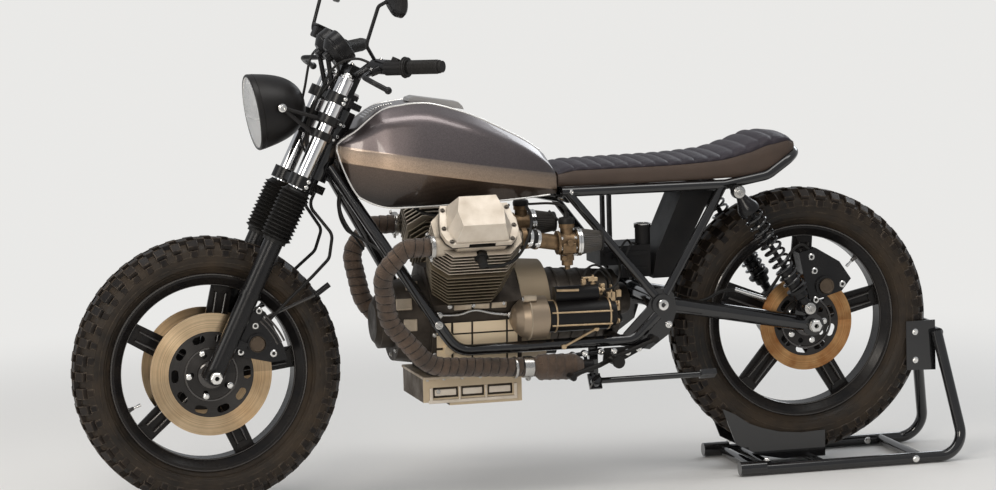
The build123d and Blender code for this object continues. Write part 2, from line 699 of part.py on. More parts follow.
def make_rocker_cover():
    """Rocker cover: winged base, raised middle that narrows upward, and a notch over the plug."""
    base = [(84, -62), (92, -20), (96, 17), (88, 42), (73, 58)]
    low = [(70, -58), (80, 14), (66, 54)]
    high = [(46, -50), (57, -6), (52, 40)]
    cover = slab(base + [(-x, b) for x, b in base[::-1]], cover_foot, cover_foot + 14)
    cover += loft([
        Pos(0, 0, cover_foot + 14) * Polygon(*(low + [(-x, b) for x, b in low[::-1]]), align=None),
        Pos(0, 0, cover_top) * Polygon(*(high + [(-x, b) for x, b in high[::-1]]), align=None),
    ])
    return cover - slab([(33, 49), (33, 70), (-33, 70), (-33, 49)], cover_foot - 5, cover_foot + 12)


for side, x in (("left", left_cylinder_x), ("right", right_cylinder_x)):
    place = bank_plane(x)
    pieces = {"cylinder": make_barrel(), "cylinder_head": make_head(), "rocker_cover": make_rocker_cover()}
    for name, piece in pieces.items():
        placed = place * piece
        nodes[f"{name}_{side}"] = placed if side == "left" else mirrored(placed)

# Carburettors and pod filters behind the heads
inlet_y, inlet_z = bank_point(intake_b, intake_height)
carb_x, carb_y, carb_z = -52.0, inlet_y - 20, inlet_z - 18
carb_length = 52.0


def make_carburettor(x_head):
    """Inlet stub, throttle body with flanges, slide tower with its cap, and float bowl."""
    body = rod((x_head, inlet_y, inlet_z), (x_head - 12, inlet_y, inlet_z), 26)
    body += rod((x_head - 6, inlet_y, inlet_z), (carb_x - 3, carb_y, carb_z), 19)
    body += rod((carb_x, carb_y, carb_z), (carb_x - carb_length, carb_y, carb_z), 24)
    for start in (carb_x, carb_x - carb_length + 6):
        body += rod((start, carb_y, carb_z), (start - 6, carb_y, carb_z), 29)
    tower = Pos(carb_x - 26, carb_y, carb_z)
    body += tower * (post(17, -44, 0) + post(14, -56, -43) + post(7, -66, -55))
    body += tower * (post(16, 0, 38) + post(19, 36, 50) + post(6, 49, 62))
    body -= block((x_head, x_head + 40), (100, 320), (540, 740))
    return body


left_carb = make_carburettor(left_cylinder_x - port_reach)
right_carb = mirrored(make_carburettor(right_cylinder_x - port_reach))
nodes["carburettors"] = Compound(children=[left_carb, right_carb])
pod = Plane(origin=(carb_x - carb_length, carb_y, carb_z), z_dir=(-1, 0, 0)) * turned_z(
    [(0, 0), (33, 0), (33, 8), (30, 10), (24, 60), (20, 64), (0, 64)])
nodes["air_filters"] = both(pod)


# Exhausts: wrapped headers that sweep down and back to a short wrapped silencer under the frame
def make_exhaust(shift, port_x):
    """Header from the port down to the wide silencer and its short tail."""
    port_y, port_z = bank_point(port_b, port_height)
    points = [(port_x + 5, port_y, port_z), (336 + shift, port_y, port_z), (392 + shift, 236, 572),
              (372 + shift, 208, 452), (268 + shift, 190, 334), (60, 176, 318), (-12, 170, 314)]
    header = tube(points, header_r, [34, 60, 90, 100, 150])
    header += rod((port_x, port_y, port_z), (port_x + 12, port_y, port_z), port_r + 5)
    header -= block((port_x - 40, port_x), (port_y - 60, port_y + 60), (port_z - 60, port_z + 60))
    silencer = Plane(origin=(4, 170, 313), z_dir=(-1, 0, -0.04)) * turned_z(
        [(0, 0), (header_r + 1, 0), (wrap_r, 14), (wrap_r, 100), (20, 122), (17, 124), (17, 150), (0, 150)])
    return header + silencer


nodes["exhaust_left"] = make_exhaust(0, left_cylinder_x + port_reach)
nodes["exhaust_right"] = mirrored(make_exhaust(-30, right_cylinder_x + port_reach))

# Swingarm with the shaft housing on the right, bevel drive, rear axle
arm_lug = arm_y + 18
swingarm = rod((pivot_x, arm_y, pivot_z), (rear_axle_x, arm_y, rear_axle_z), arm_r)
swingarm += across(pivot_x, pivot_z, 24, arm_y - 22, arm_y + arm_r)
swingarm += across(rear_axle_x, rear_axle_z, 27, arm_y - 18, arm_lug)
swingarm += rod((pivot_x, shaft_y, pivot_z), (rear_axle_x + bevel_r - 2, shaft_y, rear_axle_z + 8), 29)
swingarm += across(pivot_x, pivot_z, 30, -arm_y - arm_r, shaft_y + 20)
swingarm += across(pivot_x - 6, pivot_z, 22, -92, 92)
swingarm += across(*shock_foot, 10, arm_y, shock_y - 11)
ear_rows = [(28, -28), (18, 17), (-16, 17), (-27, -28)]
swingarm += side_plate([(shock_foot[0] + x, shock_foot[1] + z) for x, z in ear_rows], arm_y - 6, arm_y + 6)
bevel = across(rear_axle_x, rear_axle_z, bevel_r, -bevel_outer, -bevel_inner)
bevel += across(rear_axle_x, rear_axle_z, bevel_r - 20, -bevel_outer - 8, -bevel_outer)
bevel += across(*shock_foot, 14, 11 - shock_y, -bevel_outer + 18)
rear_axle_reach = 144.0
rear_axle = across(rear_axle_x, rear_axle_z, axle_r, -rear_axle_reach, rear_axle_reach)
rear_axle += across(rear_axle_x, rear_axle_z, 16, arm_lug + 2, rear_axle_reach)
rear_axle += across(rear_axle_x, rear_axle_z, 16, -rear_axle_reach, -bevel_outer - 8 - seat_gap)
rear_axle -= across(rear_axle_x, rear_axle_z, axle_bore_r, -200, 200)
swingarm -= across(rear_axle_x, rear_axle_z, axle_r, 0, 200)
bevel -= across(rear_axle_x, rear_axle_z, axle_r, -200, 0)
nodes["swingarm"] = swingarm - bevel - gearbox
nodes["bevel_drive"] = bevel
nodes["rear_axle"] = rear_axle

# Shocks with their springs
eye_top = Vector(shock_top[0], shock_y, shock_top[1])
eye_foot = Vector(shock_foot[0], shock_y, shock_foot[1])
span = (eye_top - eye_foot).length
spring_low, spring_high = 66.0, span - 52
spring = [(0, spring_low), (spring_r, spring_low), (spring_r, spring_low + 5)]
pitch = (spring_high - spring_low - 10) / spring_turns
for number in range(spring_turns):
    base = spring_low + 5 + number * pitch
    spring += [(spring_r - 7, base + pitch * 0.1), (spring_r - 7, base + pitch * 0.35), (spring_r - 1, base + pitch * 0.6),
               (spring_r - 1, base + pitch * 0.8)]
spring += [(spring_r - 7, spring_high - 5), (spring_r, spring_high - 5), (spring_r, spring_high), (0, spring_high)]
shock = post(14, 24, spring_low + 4) + post(9, 10, span - 10) + turned_z(spring) + post(17, spring_high, span - 24)
shock = Plane(origin=eye_foot, x_dir=(0, 1, 0), z_dir=eye_top - eye_foot) * shock
for end in (shock_top, shock_foot):
    shock += across(*end, 17, shock_y - 11, shock_y + 11)
nodes["rear_shocks"] = both(shock - rails)

# Rear caliper with its torque bracket
rear_outline = [(60, 82), (70, 96), (52, 118), (34, 136), (-4, 138), (-52, 116), (-62, 92), (-10, 84)]
rear_caliper = at_rear * make_caliper(rear_outline, rear_disc_r, rear_disc_y, (-19, 114))
hanger_y = rear_disc_y + caliper_out
rear_caliper += side_plate([
    polar(rear_axle_x, rear_axle_z, 30, 60), polar(rear_axle_x, rear_axle_z, 130, 86),
    polar(rear_axle_x, rear_axle_z, 130, 104), polar(rear_axle_x, rear_axle_z, 40, 130),
], hanger_y - 14, hanger_y - 6)
nodes["rear_caliper"] = rear_caliper - nodes["swingarm"]

# Tank: half sections at stations from the nose to the tail, rounded at their corners
# columns: x, bottom z, bottom y, crease low z, crease y, crease high z, shoulder z, shoulder y, top z, top y, roundness
tank_rows = [
    (450, 850, 58, 857, 64, 866, 870, 62, 874, 54, 0.1),
    (438, 806, 68, 838, 76, 864, 877, 72, 885, 58, 0.35),
    (404, 742, 88, 820, 92, 858, 889, 84, 908, 62, 0.7),
    (330, 716, 112, 810, 128, 850, 925, 104, 958, 58, 1.0),
    (243, 716, 118, 797, 143, 837, 935, 116, 967, 60, 1.0),
    (155, 718, 118, 782, 145, 821, 915, 116, 946, 58, 1.0),
    (42, 721, 112, 762, 132, 799, 868, 104, 896, 50, 1.0),
    (-70, 727, 98, 742, 104, 778, 805, 90, 824, 44, 0.5),
    (-88, 729, 92, 740, 98, 772, 784, 84, 792, 44, 0.2),
]
corner_radii = (12, 10, 14, 46, 40)


def tank_section(row):
    """One station of the tank."""
    x, bottom_z, bottom_y, low_z, crease, high_z, shoulder_z, shoulder_y, top_z, top_y, roundness = row
    half = [(bottom_y, bottom_z), (crease, low_z), (crease - 2, high_z), (shoulder_y, shoulder_z), (top_y, top_z)]
    return rounded_section(x, half, [radius * roundness for radius in corner_radii])


tank = loft([tank_section(row) for row in tank_rows], ruled=True)
tank -= side_plate([(480, 690), (480, 905), (380, 905), (-120, 762), (-120, 690)], -tunnel_half, tunnel_half)
nodes["fuel_tank"] = tank
lid = side_plate([(266, 968), (262, 975), (248, 979), (138, 960), (128, 950), (124, 941)], -lid_half, lid_half)
nodes["tank_lid"] = lid - tank

# Seat: stations along the pad
# columns: x, bottom z, top z, half width
seat_rows = [
    (-92, 745, 786, 100),
    (-140, 744, 798, 108),
    (-360, 744, 799, 118),
    (-500, 745, 806, 118),
    (-580, 752, 826, 116),
    (-640, 768, 845, 112),
    (-684, 794, 846, 104),
    (-706, 812, 832, 92),
]


def seat_section(row):
    """One station of the seat, with rolled upper edges."""
    x, low, high, half_width = row
    thick = high - low
    half = [(half_width - 8, low), (half_width, low + 0.25 * thick), (half_width - 4, high - 0.3 * thick),
            (half_width - 26, high)]
    return rounded_section(x, half, [2, 4, 0.3 * thick, 20])


nodes["seat"] = loft([seat_section(row) for row in seat_rows], ruled=True) - rails

# Inner rear mudguard between the stays: a channel open to the wheel
guard_top = rail_z + 1 - cross_r - seat_gap
guard = side_plate([(-506, guard_top), (-424, guard_top), (-350, 560), (-340, 500), (-391, 500), (-400, 520)],
                   -guard_half, guard_half)
inner_half = guard_half - guard_wall
guard -= side_plate([(-530, guard_top - 4), (-427, guard_top - 4), (-354, 560), (-344, 490), (-440, 490)],
                    -inner_half, inner_half)
nodes["rear_fender"] = guard

# Electrics between the stays: battery box hung from a cross tube, and a breather canister
tray = block((-335, -262), (-62, 62), (505, 585)) + block((-263, -205), (-62, 62), (538, 585))
tray += block((-325, -272), (-66, 66), (520, 530)) + block((-325, -215), (-66, 66), (560, 570))
tray += Pos(-322, 40, 0) * (post(19, 584, 632) + post(21, 626, 634))
for side in (-1, 1):
    strap_top = rail_z + 1 - cross_r - seat_gap
    tray += block((tray_x - 4, tray_x + 4), (side * 30 - 9, side * 30 + 9), (584, strap_top))
nodes["electrics"] = tray

# Footrests with the gear linkage on the left and the brake pedal on the right
peg_x, peg_z = -196.0, 322.0
peg_y = cradle_y + 4 + seat_gap
peg = across(peg_x, peg_z, 12, peg_y + 6, peg_y + 84) + across(peg_x, peg_z, 15, peg_y + 76, peg_y + 86)
peg_top = cradle_z - cradle_r - 2
peg += side_plate([(peg_x - 16, peg_z - 16), (peg_x - 74, peg_z + 12), (peg_x - 96, peg_top), (peg_x + 14, peg_top),
                   (peg_x + 18, peg_z - 10)], peg_y, peg_y + 8)
pedal_knee = (peg_x + 42, peg_y + 58, peg_z - 8)
pedal_toe = (peg_x + 118, peg_y + 58, peg_z - 30)
pedal = rod((peg_x, peg_y + 22, peg_z), pedal_knee, 6) + rod(pedal_knee, pedal_toe, 6) + Pos(*pedal_knee) * Sphere(6)
pedal += across(pedal_toe[0], pedal_toe[2], 8, pedal_toe[1] - 6, pedal_toe[1] + 34)
link_x, link_z = pivot_x + 24, pivot_z - 84
gear_link = rod((peg_x, peg_y + 16, peg_z), (link_x, peg_y + 16, link_z), 5)
gear_link += across(link_x, link_z, 9, peg_y, peg_y + 22)
nodes["footrests"] = Compound(children=[peg + pedal + gear_link, mirrored(peg + pedal)])

# Chock: floor frame of round tube that bends up behind the wheel, with cradle plates round the tyre
base_front, base_back = rear_axle_x + 202, rear_axle_x - 395
hoop_x, hoop_y, hoop_z = rear_axle_x - 347, 78.0, 322.0
base = tube([(base_front, chock_y, chock_r), (base_back, chock_y, chock_r), (hoop_x, hoop_y, hoop_z)], chock_r, 60)
base += rod((base_front + 6, chock_y, sleeve_r + 2), (base_front - 62, chock_y, sleeve_r + 2), sleeve_r)
base += mirrored(base)
for x in (base_front - 48, rear_axle_x - 273):
    base += across(x, chock_r, cross_tube_r, -chock_y, chock_y)
base += across(hoop_x - 6, hoop_z - 4, cross_tube_r, -hoop_y, hoop_y)
trough_top = chock_lift - tread_gap
trough_low = trough_top - chock_wall
bearer_z = trough_low - seat_gap - bearer_r
for x in (rear_axle_x + 107, rear_axle_x - 23):
    base += across(x, bearer_z, bearer_r, -chock_y, chock_y)
nodes["chock_base"] = base
cheek = rear_tyre_half + chock_play
cheek_rows = [(224, 159), (189, 66), (128, 34), (66, trough_low), (-47, trough_low), (-47, 88), (17, 85), (74, 91),
              (121, 104), (154, 117), (191, 143)]
lower = side_plate([(rear_axle_x + x, z) for x, z in cheek_rows], cheek, cheek + chock_wall)
lower += mirrored(lower)
lower += block((rear_axle_x - 47, rear_axle_x + 66), (-cheek - chock_wall, cheek + chock_wall), (trough_low, trough_top))
plate_front, plate_back = rear_axle_x - 269, rear_axle_x - 347
upper = side_plate([(plate_front, 225), (plate_front, 350), (plate_back, 350), (plate_back, 222)], cheek, cheek + chock_wall)
upper += mirrored(upper)
upper += block((plate_back, plate_back + 6), (-cheek - chock_wall, cheek + chock_wall), (225, 345))
nodes["chock_cradle"] = Compound(children=[lower - base, upper - base])

# Side stand: pivot lug, leg and foot, folded back along the frame
leg = rod((0, 0, 0), (-stand_length, 0, 0), 7.5) + Cylinder(14, 2 * stand_cheek)
leg += Pos(-stand_length, 0, 0) * Box(40, 14, 26)
leg -= Cylinder(stand_pin_r + axle_play, 4 * stand_cheek)
nodes["side_stand"] = stand_hinge * leg

for name, shape in nodes.items():
    export_step(shape, f"parts/{name}.step")
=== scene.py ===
from math import acos, cos, pi, radians, sin, sqrt, tan

import bmesh
import bpy
from mathutils import Matrix, Vector


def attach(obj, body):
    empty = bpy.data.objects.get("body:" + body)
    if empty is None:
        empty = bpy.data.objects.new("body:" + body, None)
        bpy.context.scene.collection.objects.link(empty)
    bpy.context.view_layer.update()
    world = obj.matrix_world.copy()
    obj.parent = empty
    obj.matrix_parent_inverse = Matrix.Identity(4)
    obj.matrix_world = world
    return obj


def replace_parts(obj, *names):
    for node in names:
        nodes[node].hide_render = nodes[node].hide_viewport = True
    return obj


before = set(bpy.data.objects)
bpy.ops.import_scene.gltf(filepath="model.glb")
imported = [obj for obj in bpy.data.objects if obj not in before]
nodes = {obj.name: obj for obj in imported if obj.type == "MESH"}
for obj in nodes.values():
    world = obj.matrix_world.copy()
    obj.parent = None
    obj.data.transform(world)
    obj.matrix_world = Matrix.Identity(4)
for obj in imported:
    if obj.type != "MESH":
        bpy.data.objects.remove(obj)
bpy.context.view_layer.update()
scene = bpy.context.scene
print("frame loaded")

# Camera, placed as the photograph's own
camera = {
    "place": (2.5590, 9.5963, 1.8342),
    "yaw": 14.710,
    "pitch": 7.105,
    "roll": -1.509,
    "lens": 145.88,
    "sensor": 36.0,
    "reach": 200,
}
yaw, pitch, roll = (radians(camera[key]) for key in ("yaw", "pitch", "roll"))
lookWay = Vector((-sin(yaw) * cos(pitch), -cos(yaw) * cos(pitch), -sin(pitch)))
levelRight = lookWay.cross(Vector((0, 0, 1))).normalized()
levelUp = levelRight.cross(lookWay)
rightWay = levelRight * cos(roll) + levelUp * sin(roll)
upWay = levelUp * cos(roll) - levelRight * sin(roll)
cameraData = bpy.data.cameras.new("camera")
cameraData.lens = camera["lens"]
cameraData.sensor_width = camera["sensor"]
cameraData.clip_end = camera["reach"]
cameraObject = bpy.data.objects.new("camera", cameraData)
turn = Matrix((rightWay, upWay, -lookWay)).transposed().to_4x4()
cameraObject.matrix_world = Matrix.Translation(camera["place"]) @ turn
scene.collection.objects.link(cameraObject)
scene.camera = cameraObject
scene.view_settings.view_transform = "Standard"


# Places. Points in lists are in millimetres, the frame is in metres
def metres(point):
    return tuple(value / 1000 for value in point)


# Point on the left, way 1, or its mirror image on the right, way -1
def onSide(way, x, y, z):
    return Vector(metres((x, way * y, z)))


# Matrix at a place whose Z looks along a direction
def aimed(place, way, near=(0, 0, 1)):
    z = Vector(way).normalized()
    x = Vector(near).cross(z)
    if x.length < 1e-3:
        x = Vector((1, 0, 0)).cross(z)
    x.normalize()
    turn = Matrix((x, z.cross(x), z)).transposed().to_4x4()
    return Matrix.Translation(Vector(place)) @ turn


# Catmull-Rom curve through points
def smoothPath(points, steps=8):
    knots = [Vector(point) for point in points]
    knots = [2 * knots[0] - knots[1]] + knots + [2 * knots[-1] - knots[-2]]
    path = []
    for a, b, c, d in zip(knots, knots[1:], knots[2:], knots[3:]):
        for step in range(steps):
            t = step / steps
            bent = 2 * b + (c - a) * t + (2 * a - 5 * b + 4 * c - d) * t * t
            path.append(0.5 * (bent + (3 * b - a - 3 * c + d) * t ** 3))
    path.append(knots[-2])
    return path


# Turns a bmesh into a piece that rides on a body; smooth is the sharpest angle that stays smooth
def newPiece(name, mesh, body, slot, *finishes, smooth=35):
    bmesh.ops.recalc_face_normals(mesh, faces=mesh.faces)
    data = bpy.data.meshes.new(name)
    mesh.to_mesh(data)
    mesh.free()
    for finish in finishes:
        data.materials.append(finished(finish))
    data.shade_smooth()
    data.set_sharp_from_angle(angle=radians(smooth))
    piece = bpy.data.objects.new(name, data)
    scene.collection.objects.link(piece)
    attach(piece, body)
    return piece


# Adds a finished bmesh to another one
def addTo(mesh, part, matrix=None, material=0):
    if matrix is not None:
        bmesh.ops.transform(part, matrix=matrix, verts=part.verts)
    for face in part.faces:
        face.material_index = material
    data = bpy.data.meshes.new("part")
    part.to_mesh(data)
    part.free()
    mesh.from_mesh(data)
    bpy.data.meshes.remove(data)


# Skin over a row of closed sections, with both ends filled
def addSkin(mesh, sections, material=0):
    part = bmesh.new()
    rings = []
    for section in sections:
        verts = [part.verts.new(point) for point in section]
        rings.append([part.edges.new(pair) for pair in zip(verts, verts[1:] + verts[:1])])
    for low, high in zip(rings, rings[1:]):
        bmesh.ops.bridge_loops(part, edges=low + high)
    for ring in (rings[0], rings[-1]):
        bmesh.ops.edgeloop_fill(part, edges=ring)
    addTo(mesh, part, material=material)


# Spins a line of (radius, height) points about an axis
def addLathe(mesh, profile, place, way, sides=48, material=0):
    part = bmesh.new()
    line = [part.verts.new((radius, 0, height)) for radius, height in profile]
    edges = [part.edges.new(pair) for pair in zip(line, line[1:])]
    bmesh.ops.spin(part, geom=line + edges, axis=(0, 0, 1), cent=(0, 0, 0), angle=2 * pi, steps=sides,
                   use_merge=True)
    bmesh.ops.remove_doubles(part, verts=part.verts, dist=1e-6)
    addTo(mesh, part, aimed(place, way), material)


# Tube along a path; radius is a number or a function of the distance and the angle
def addTube(mesh, path, radius, sides=12, material=0):
    points = [Vector(point) for point in path]
    ways = [(b - a).normalized() for a, b in zip(points, points[1:])]
    ways = [ways[0]] + [(a + b).normalized() for a, b in zip(ways, ways[1:])] + [ways[-1]]
    side = ways[0].orthogonal().normalized()
    distance = 0.0
    sections = []
    for number, (point, way) in enumerate(zip(points, ways)):
        if number:
            distance += (point - points[number - 1]).length
            side = (side - way * side.dot(way)).normalized()
        other = way.cross(side)
        section = []
        for i in range(sides):
            angle = 2 * pi * i / sides
            size = radius(distance, angle) if callable(radius) else radius
            section.append(point + (side * cos(angle) + other * sin(angle)) * size)
        sections.append(section)
    addSkin(mesh, sections, material)


# Cord or pipe along a smooth curve through points in millimetres
def addCord(mesh, rows, radius, sides=10, steps=8):
    addTube(mesh, smoothPath([metres(row) for row in rows], steps), radius, sides)


def bevelEdges(mesh, width):
    bmesh.ops.bevel(mesh, geom=mesh.edges[:], offset=width, segments=1, affect="EDGES", profile=0.5,
                    material=-1)


# Cuboid with bevelled edges, its size along the three axes of a matrix
def addBox(mesh, size, matrix, bevel=0.0008, material=0):
    part = bmesh.new()
    bmesh.ops.create_cube(part, size=1)
    bmesh.ops.scale(part, vec=size, verts=part.verts)
    if bevel:
        bevelEdges(part, bevel)
    addTo(mesh, part, matrix, material)


# Cylinder with bevelled rims from one point to another
def addRod(mesh, start, end, radius, sides=20, bevel=0.0006, material=0):
    way = Vector(end) - Vector(start)
    top = way.length
    rim = min(bevel, radius / 3, top / 3)
    profile = [(0, 0), (radius - rim, 0), (radius, rim), (radius, top - rim), (radius - rim, top), (0, top)]
    addLathe(mesh, profile, start, way, sides, material)


# Profiles of bolt heads for a shank of radius 1, with the sides that they are turned in
boltLook = {
    "washer": ([(0, 0), (1.45, 0), (1.45, 0.18), (1.3, 0.26), (0, 0.26)], 20),
    "socket": ([(0.95, 0.2), (1, 0.3), (1, 1), (0.9, 1.12), (0.55, 1.12), (0.5, 0.6), (0, 0.55)], 18),
    "hex": ([(1.1, 0.2), (1.12, 0.85), (0.95, 1), (0, 1)], 6),
}


def addBolt(mesh, place, way, size, kind="socket"):
    for profile, sides in (boltLook["washer"], boltLook[kind]):
        addLathe(mesh, [(radius * size, height * size) for radius, height in profile], place, way, sides)


# Bolts of one size that look one way, at points in millimetres
def addBolts(mesh, points, way, size, kind="socket"):
    for point in points:
        addBolt(mesh, metres(point), way, size, kind)


# Gives inputs of a material node their sockets or values
def feed(tree, node, links):
    for key, value in links.items():
        if isinstance(value, bpy.types.NodeSocket):
            tree.links.new(value, node.inputs[key])
        else:
            node.inputs[key].default_value = value


def addNode(tree, kind, links=None, **settings):
    node = tree.nodes.new(kind)
    for key, value in settings.items():
        setattr(node, key, value)
    feed(tree, node, links or {})
    return node


def maths(tree, operation, a, b=0.0):
    return addNode(tree, "ShaderNodeMath", {0: a, 1: b}, operation=operation).outputs[0]


def product(tree, a, b):
    return maths(tree, "MULTIPLY", a, b)


def vectorMaths(tree, operation, a, b=(0, 0, 0)):
    node = addNode(tree, "ShaderNodeVectorMath", {0: a, 1: b}, operation=operation)
    return node.outputs["Value" if operation in ("DOT_PRODUCT", "LENGTH") else "Vector"]


# The X, Y and Z outputs of a vector
def parts(tree, vector):
    return addNode(tree, "ShaderNodeSeparateXYZ", {0: vector}).outputs


def mapRange(tree, value, low, high, least=0.0, most=1.0, curve="LINEAR"):
    links = {"Value": value, "From Min": low, "From Max": high, "To Min": least, "To Max": most}
    return addNode(tree, "ShaderNodeMapRange", links, interpolation_type=curve).outputs[0]


def noise(tree, vector, scale, detail, roughness=0.5):
    links = {"Vector": vector, "Scale": scale, "Detail": detail, "Roughness": roughness}
    return addNode(tree, "ShaderNodeTexNoise", links).outputs["Fac"]


def lineNoise(tree, value, scale, detail):
    links = {"W": value, "Scale": scale, "Detail": detail}
    return addNode(tree, "ShaderNodeTexNoise", links, noise_dimensions="1D").outputs["Fac"]


def bump(tree, height, distance, strength=1.0):
    links = {"Height": height, "Distance": distance, "Strength": strength}
    return addNode(tree, "ShaderNodeBump", links).outputs[0]


def mixColour(tree, factor, a, b, blend="MIX"):
    links = {0: factor, 6: a, 7: b}
    return addNode(tree, "ShaderNodeMix", links, data_type="RGBA", blend_type=blend).outputs[2]


def mixNumber(tree, factor, a, b):
    return addNode(tree, "ShaderNodeMix", {0: factor, 2: a, 3: b}, data_type="FLOAT").outputs[0]


# Colour made darker or lighter by a tone
def toned(tree, shade, tone):
    grey = addNode(tree, "ShaderNodeCombineColor", {0: tone, 1: tone, 2: tone}).outputs[0]
    return mixColour(tree, 1.0, shade, grey, "MULTIPLY")


# Distance from an axle that runs across the machine
def axleReach(tree, fromAxle):
    return vectorMaths(tree, "LENGTH", vectorMaths(tree, "MULTIPLY", fromAxle, (1, 0, 1)))


def colour(shade):
    return (*shade, 1.0)


# Node groups. A socket's kind is that of its default: a number, a place or a colour
anyPlace, anyColour = (0, 0, 0), (0.5, 0.5, 0.5, 1)


def socketKind(value):
    if isinstance(value, float):
        return "NodeSocketFloat"
    return "NodeSocketColor" if len(value) == 4 else "NodeSocketVector"


def newGroup(name, inputs, outputs):
    tree = bpy.data.node_groups.new(name, "ShaderNodeTree")
    for label, value in inputs.items():
        socket = tree.interface.new_socket(name=label, in_out="INPUT", socket_type=socketKind(value))
        socket.default_value = value
    for label, value in outputs.items():
        tree.interface.new_socket(name=label, in_out="OUTPUT", socket_type=socketKind(value))
    return tree, addNode(tree, "NodeGroupInput").outputs, addNode(tree, "NodeGroupOutput")


def useGroup(tree, group, **links):
    return addNode(tree, "ShaderNodeGroup", links, node_tree=group).outputs


mottle, given, result = newGroup(
    "mottle",
    {"Vector": anyPlace, "Base": anyColour, "Stain": anyColour, "Scale": 12.0, "Amount": 0.4},
    {"Colour": anyColour, "Mask": 0.0},
)
cloud = noise(mottle, given["Vector"], given["Scale"], 5.0, 0.62)
share = product(mottle, mapRange(mottle, cloud, 0.38, 0.72), given["Amount"])
feed(mottle, result, {"Colour": mixColour(mottle, share, given["Base"], given["Stain"]), "Mask": share})

grain, given, result = newGroup(
    "grain",
    {"Vector": anyPlace, "Scale": 400.0, "Depth": 0.0004},
    {"Normal": anyPlace},
)
rough = noise(grain, given["Vector"], given["Scale"], 3.0, 0.6)
feed(grain, result, {"Normal": bump(grain, rough, given["Depth"])})

wear, given, result = newGroup(
    "wear",
    {"Vector": anyPlace, "Colour": anyColour, "Worn": anyColour, "Radius": 0.0015, "Amount": 0.5},
    {"Colour": anyColour, "Normal": anyPlace},
)
soft = addNode(wear, "ShaderNodeBevel", {"Radius": given["Radius"]}, samples=4).outputs[0]
flat = addNode(wear, "ShaderNodeNewGeometry").outputs["Normal"]
edge = mapRange(wear, vectorMaths(wear, "DOT_PRODUCT", soft, flat), 0.995, 0.93)
broken = mapRange(wear, noise(wear, given["Vector"], 60.0, 3.0), 0.35, 0.65)
mask = product(wear, product(wear, edge, broken), given["Amount"])
feed(wear, result, {"Colour": mixColour(wear, mask, given["Colour"], given["Worn"]), "Normal": soft})

dust, given, result = newGroup(
    "dust",
    {"Vector": anyPlace, "Colour": anyColour, "Dust": anyColour, "Amount": 0.3, "Up": 0.5},
    {"Colour": anyColour},
)
facing = parts(dust, addNode(dust, "ShaderNodeNewGeometry").outputs["Normal"])
onTop = product(dust, mapRange(dust, facing["Z"], -0.2, 1.0), given["Up"])
settled = maths(dust, "ADD", onTop, maths(dust, "SUBTRACT", 1.0, given["Up"]))
lying = mapRange(dust, noise(dust, given["Vector"], 22.0, 7.0, 0.7), 0.35, 0.7)
mask = product(dust, product(dust, settled, lying), given["Amount"])
feed(dust, result, {"Colour": mixColour(dust, mask, given["Colour"], given["Dust"])})

# Grime and painted shade: darkens the colour where ambient occlusion finds the surface sheltered, in
# recesses, gaps and corners
grimeAndShade, given, result = newGroup(
    "grimeAndShade",
    {"Colour": anyColour, "Grime": anyColour, "Reach": 0.012, "Amount": 0.8},
    {"Colour": anyColour},
)
shelter = addNode(grimeAndShade, "ShaderNodeAmbientOcclusion", {"Distance": given["Reach"]}, samples=6)
mask = product(grimeAndShade, mapRange(grimeAndShade, shelter.outputs["AO"], 0.85, 0.35), given["Amount"])
feed(grimeAndShade, result, {"Colour": mixColour(grimeAndShade, mask, given["Colour"], given["Grime"])})

# Turned lines and patches of heat round an axle
rings, given, result = newGroup(
    "rings",
    {"Vector": anyPlace, "Colour": anyColour, "Axle": anyPlace},
    {"Colour": anyColour},
)
fromAxle = vectorMaths(rings, "SUBTRACT", given["Vector"], given["Axle"])
lines = lineNoise(rings, product(rings, axleReach(rings, fromAxle), 420.0), 1.0, 3.0)
swept = maths(rings, "ARCTAN2", parts(rings, fromAxle)["Z"], parts(rings, fromAxle)["X"])
heat = lineNoise(rings, swept, 1.1, 1.0)
tone = product(rings, mapRange(rings, lines, 0.3, 0.7, 0.72, 1.15),
               mapRange(rings, heat, 0.35, 0.65, 0.78, 1.12))
feed(rings, result, {"Colour": toned(rings, given["Colour"], tone)})

# Materials
made = {}


def newMaterial(name):
    material = bpy.data.materials.new(name)
    material.use_nodes = True
    made[name] = material
    tree = material.node_tree
    return tree, tree.nodes["Principled BSDF"], addNode(tree, "ShaderNodeTexCoord").outputs["Object"]


# Principled material with stains, worn edges, dust, grime with painted shade in sheltered places, and grain,
# each taken from the look
def surface(name, look):
    tree, shader, place = newMaterial(name)
    stain, scale, amount = look["stain"]
    stained = useGroup(tree, mottle, Vector=place, Base=colour(look["base"]), Stain=colour(stain),
                       Scale=scale, Amount=amount)
    shade = stained["Colour"]
    scale, depth = look.get("grain", plainGrain)
    normal = useGroup(tree, grain, Vector=place, Scale=scale, Depth=depth)["Normal"]
    if "wear" in look:
        tint, edge, amount = look["wear"]
        worn = useGroup(tree, wear, Vector=place, Colour=shade, Worn=colour(tint), Radius=edge, Amount=amount)
        shade = worn["Colour"]
        normal = vectorMaths(tree, "NORMALIZE", vectorMaths(tree, "ADD", worn["Normal"], normal))
    if "dust" in look:
        tint, amount, up = look["dust"]
        shade = useGroup(tree, dust, Vector=place, Colour=shade, Dust=colour(tint),
                         Amount=amount, Up=up)["Colour"]
    # Grime and painted shade where the surface is sheltered
    if "grimeAndShade" in look:
        tint, reach, amount = look["grimeAndShade"]
        shade = useGroup(tree, grimeAndShade, Colour=shade, Grime=colour(tint), Reach=reach, Amount=amount)["Colour"]
    coat, coatRough = look.get("coat", (0.0, 0.1))
    feed(tree, shader, {
        "Base Color": shade,
        "Roughness": mapRange(tree, stained["Mask"], 0.0, 0.6, *look["rough"]),
        "Normal": normal,
        "Metallic": look.get("metal", 0.0),
        "Coat Weight": coat,
        "Coat Roughness": coatRough,
        "Sheen Weight": look.get("sheen", 0.0),
        "Specular IOR Level": look.get("specular", 0.5),
    })
    return tree, shader, place
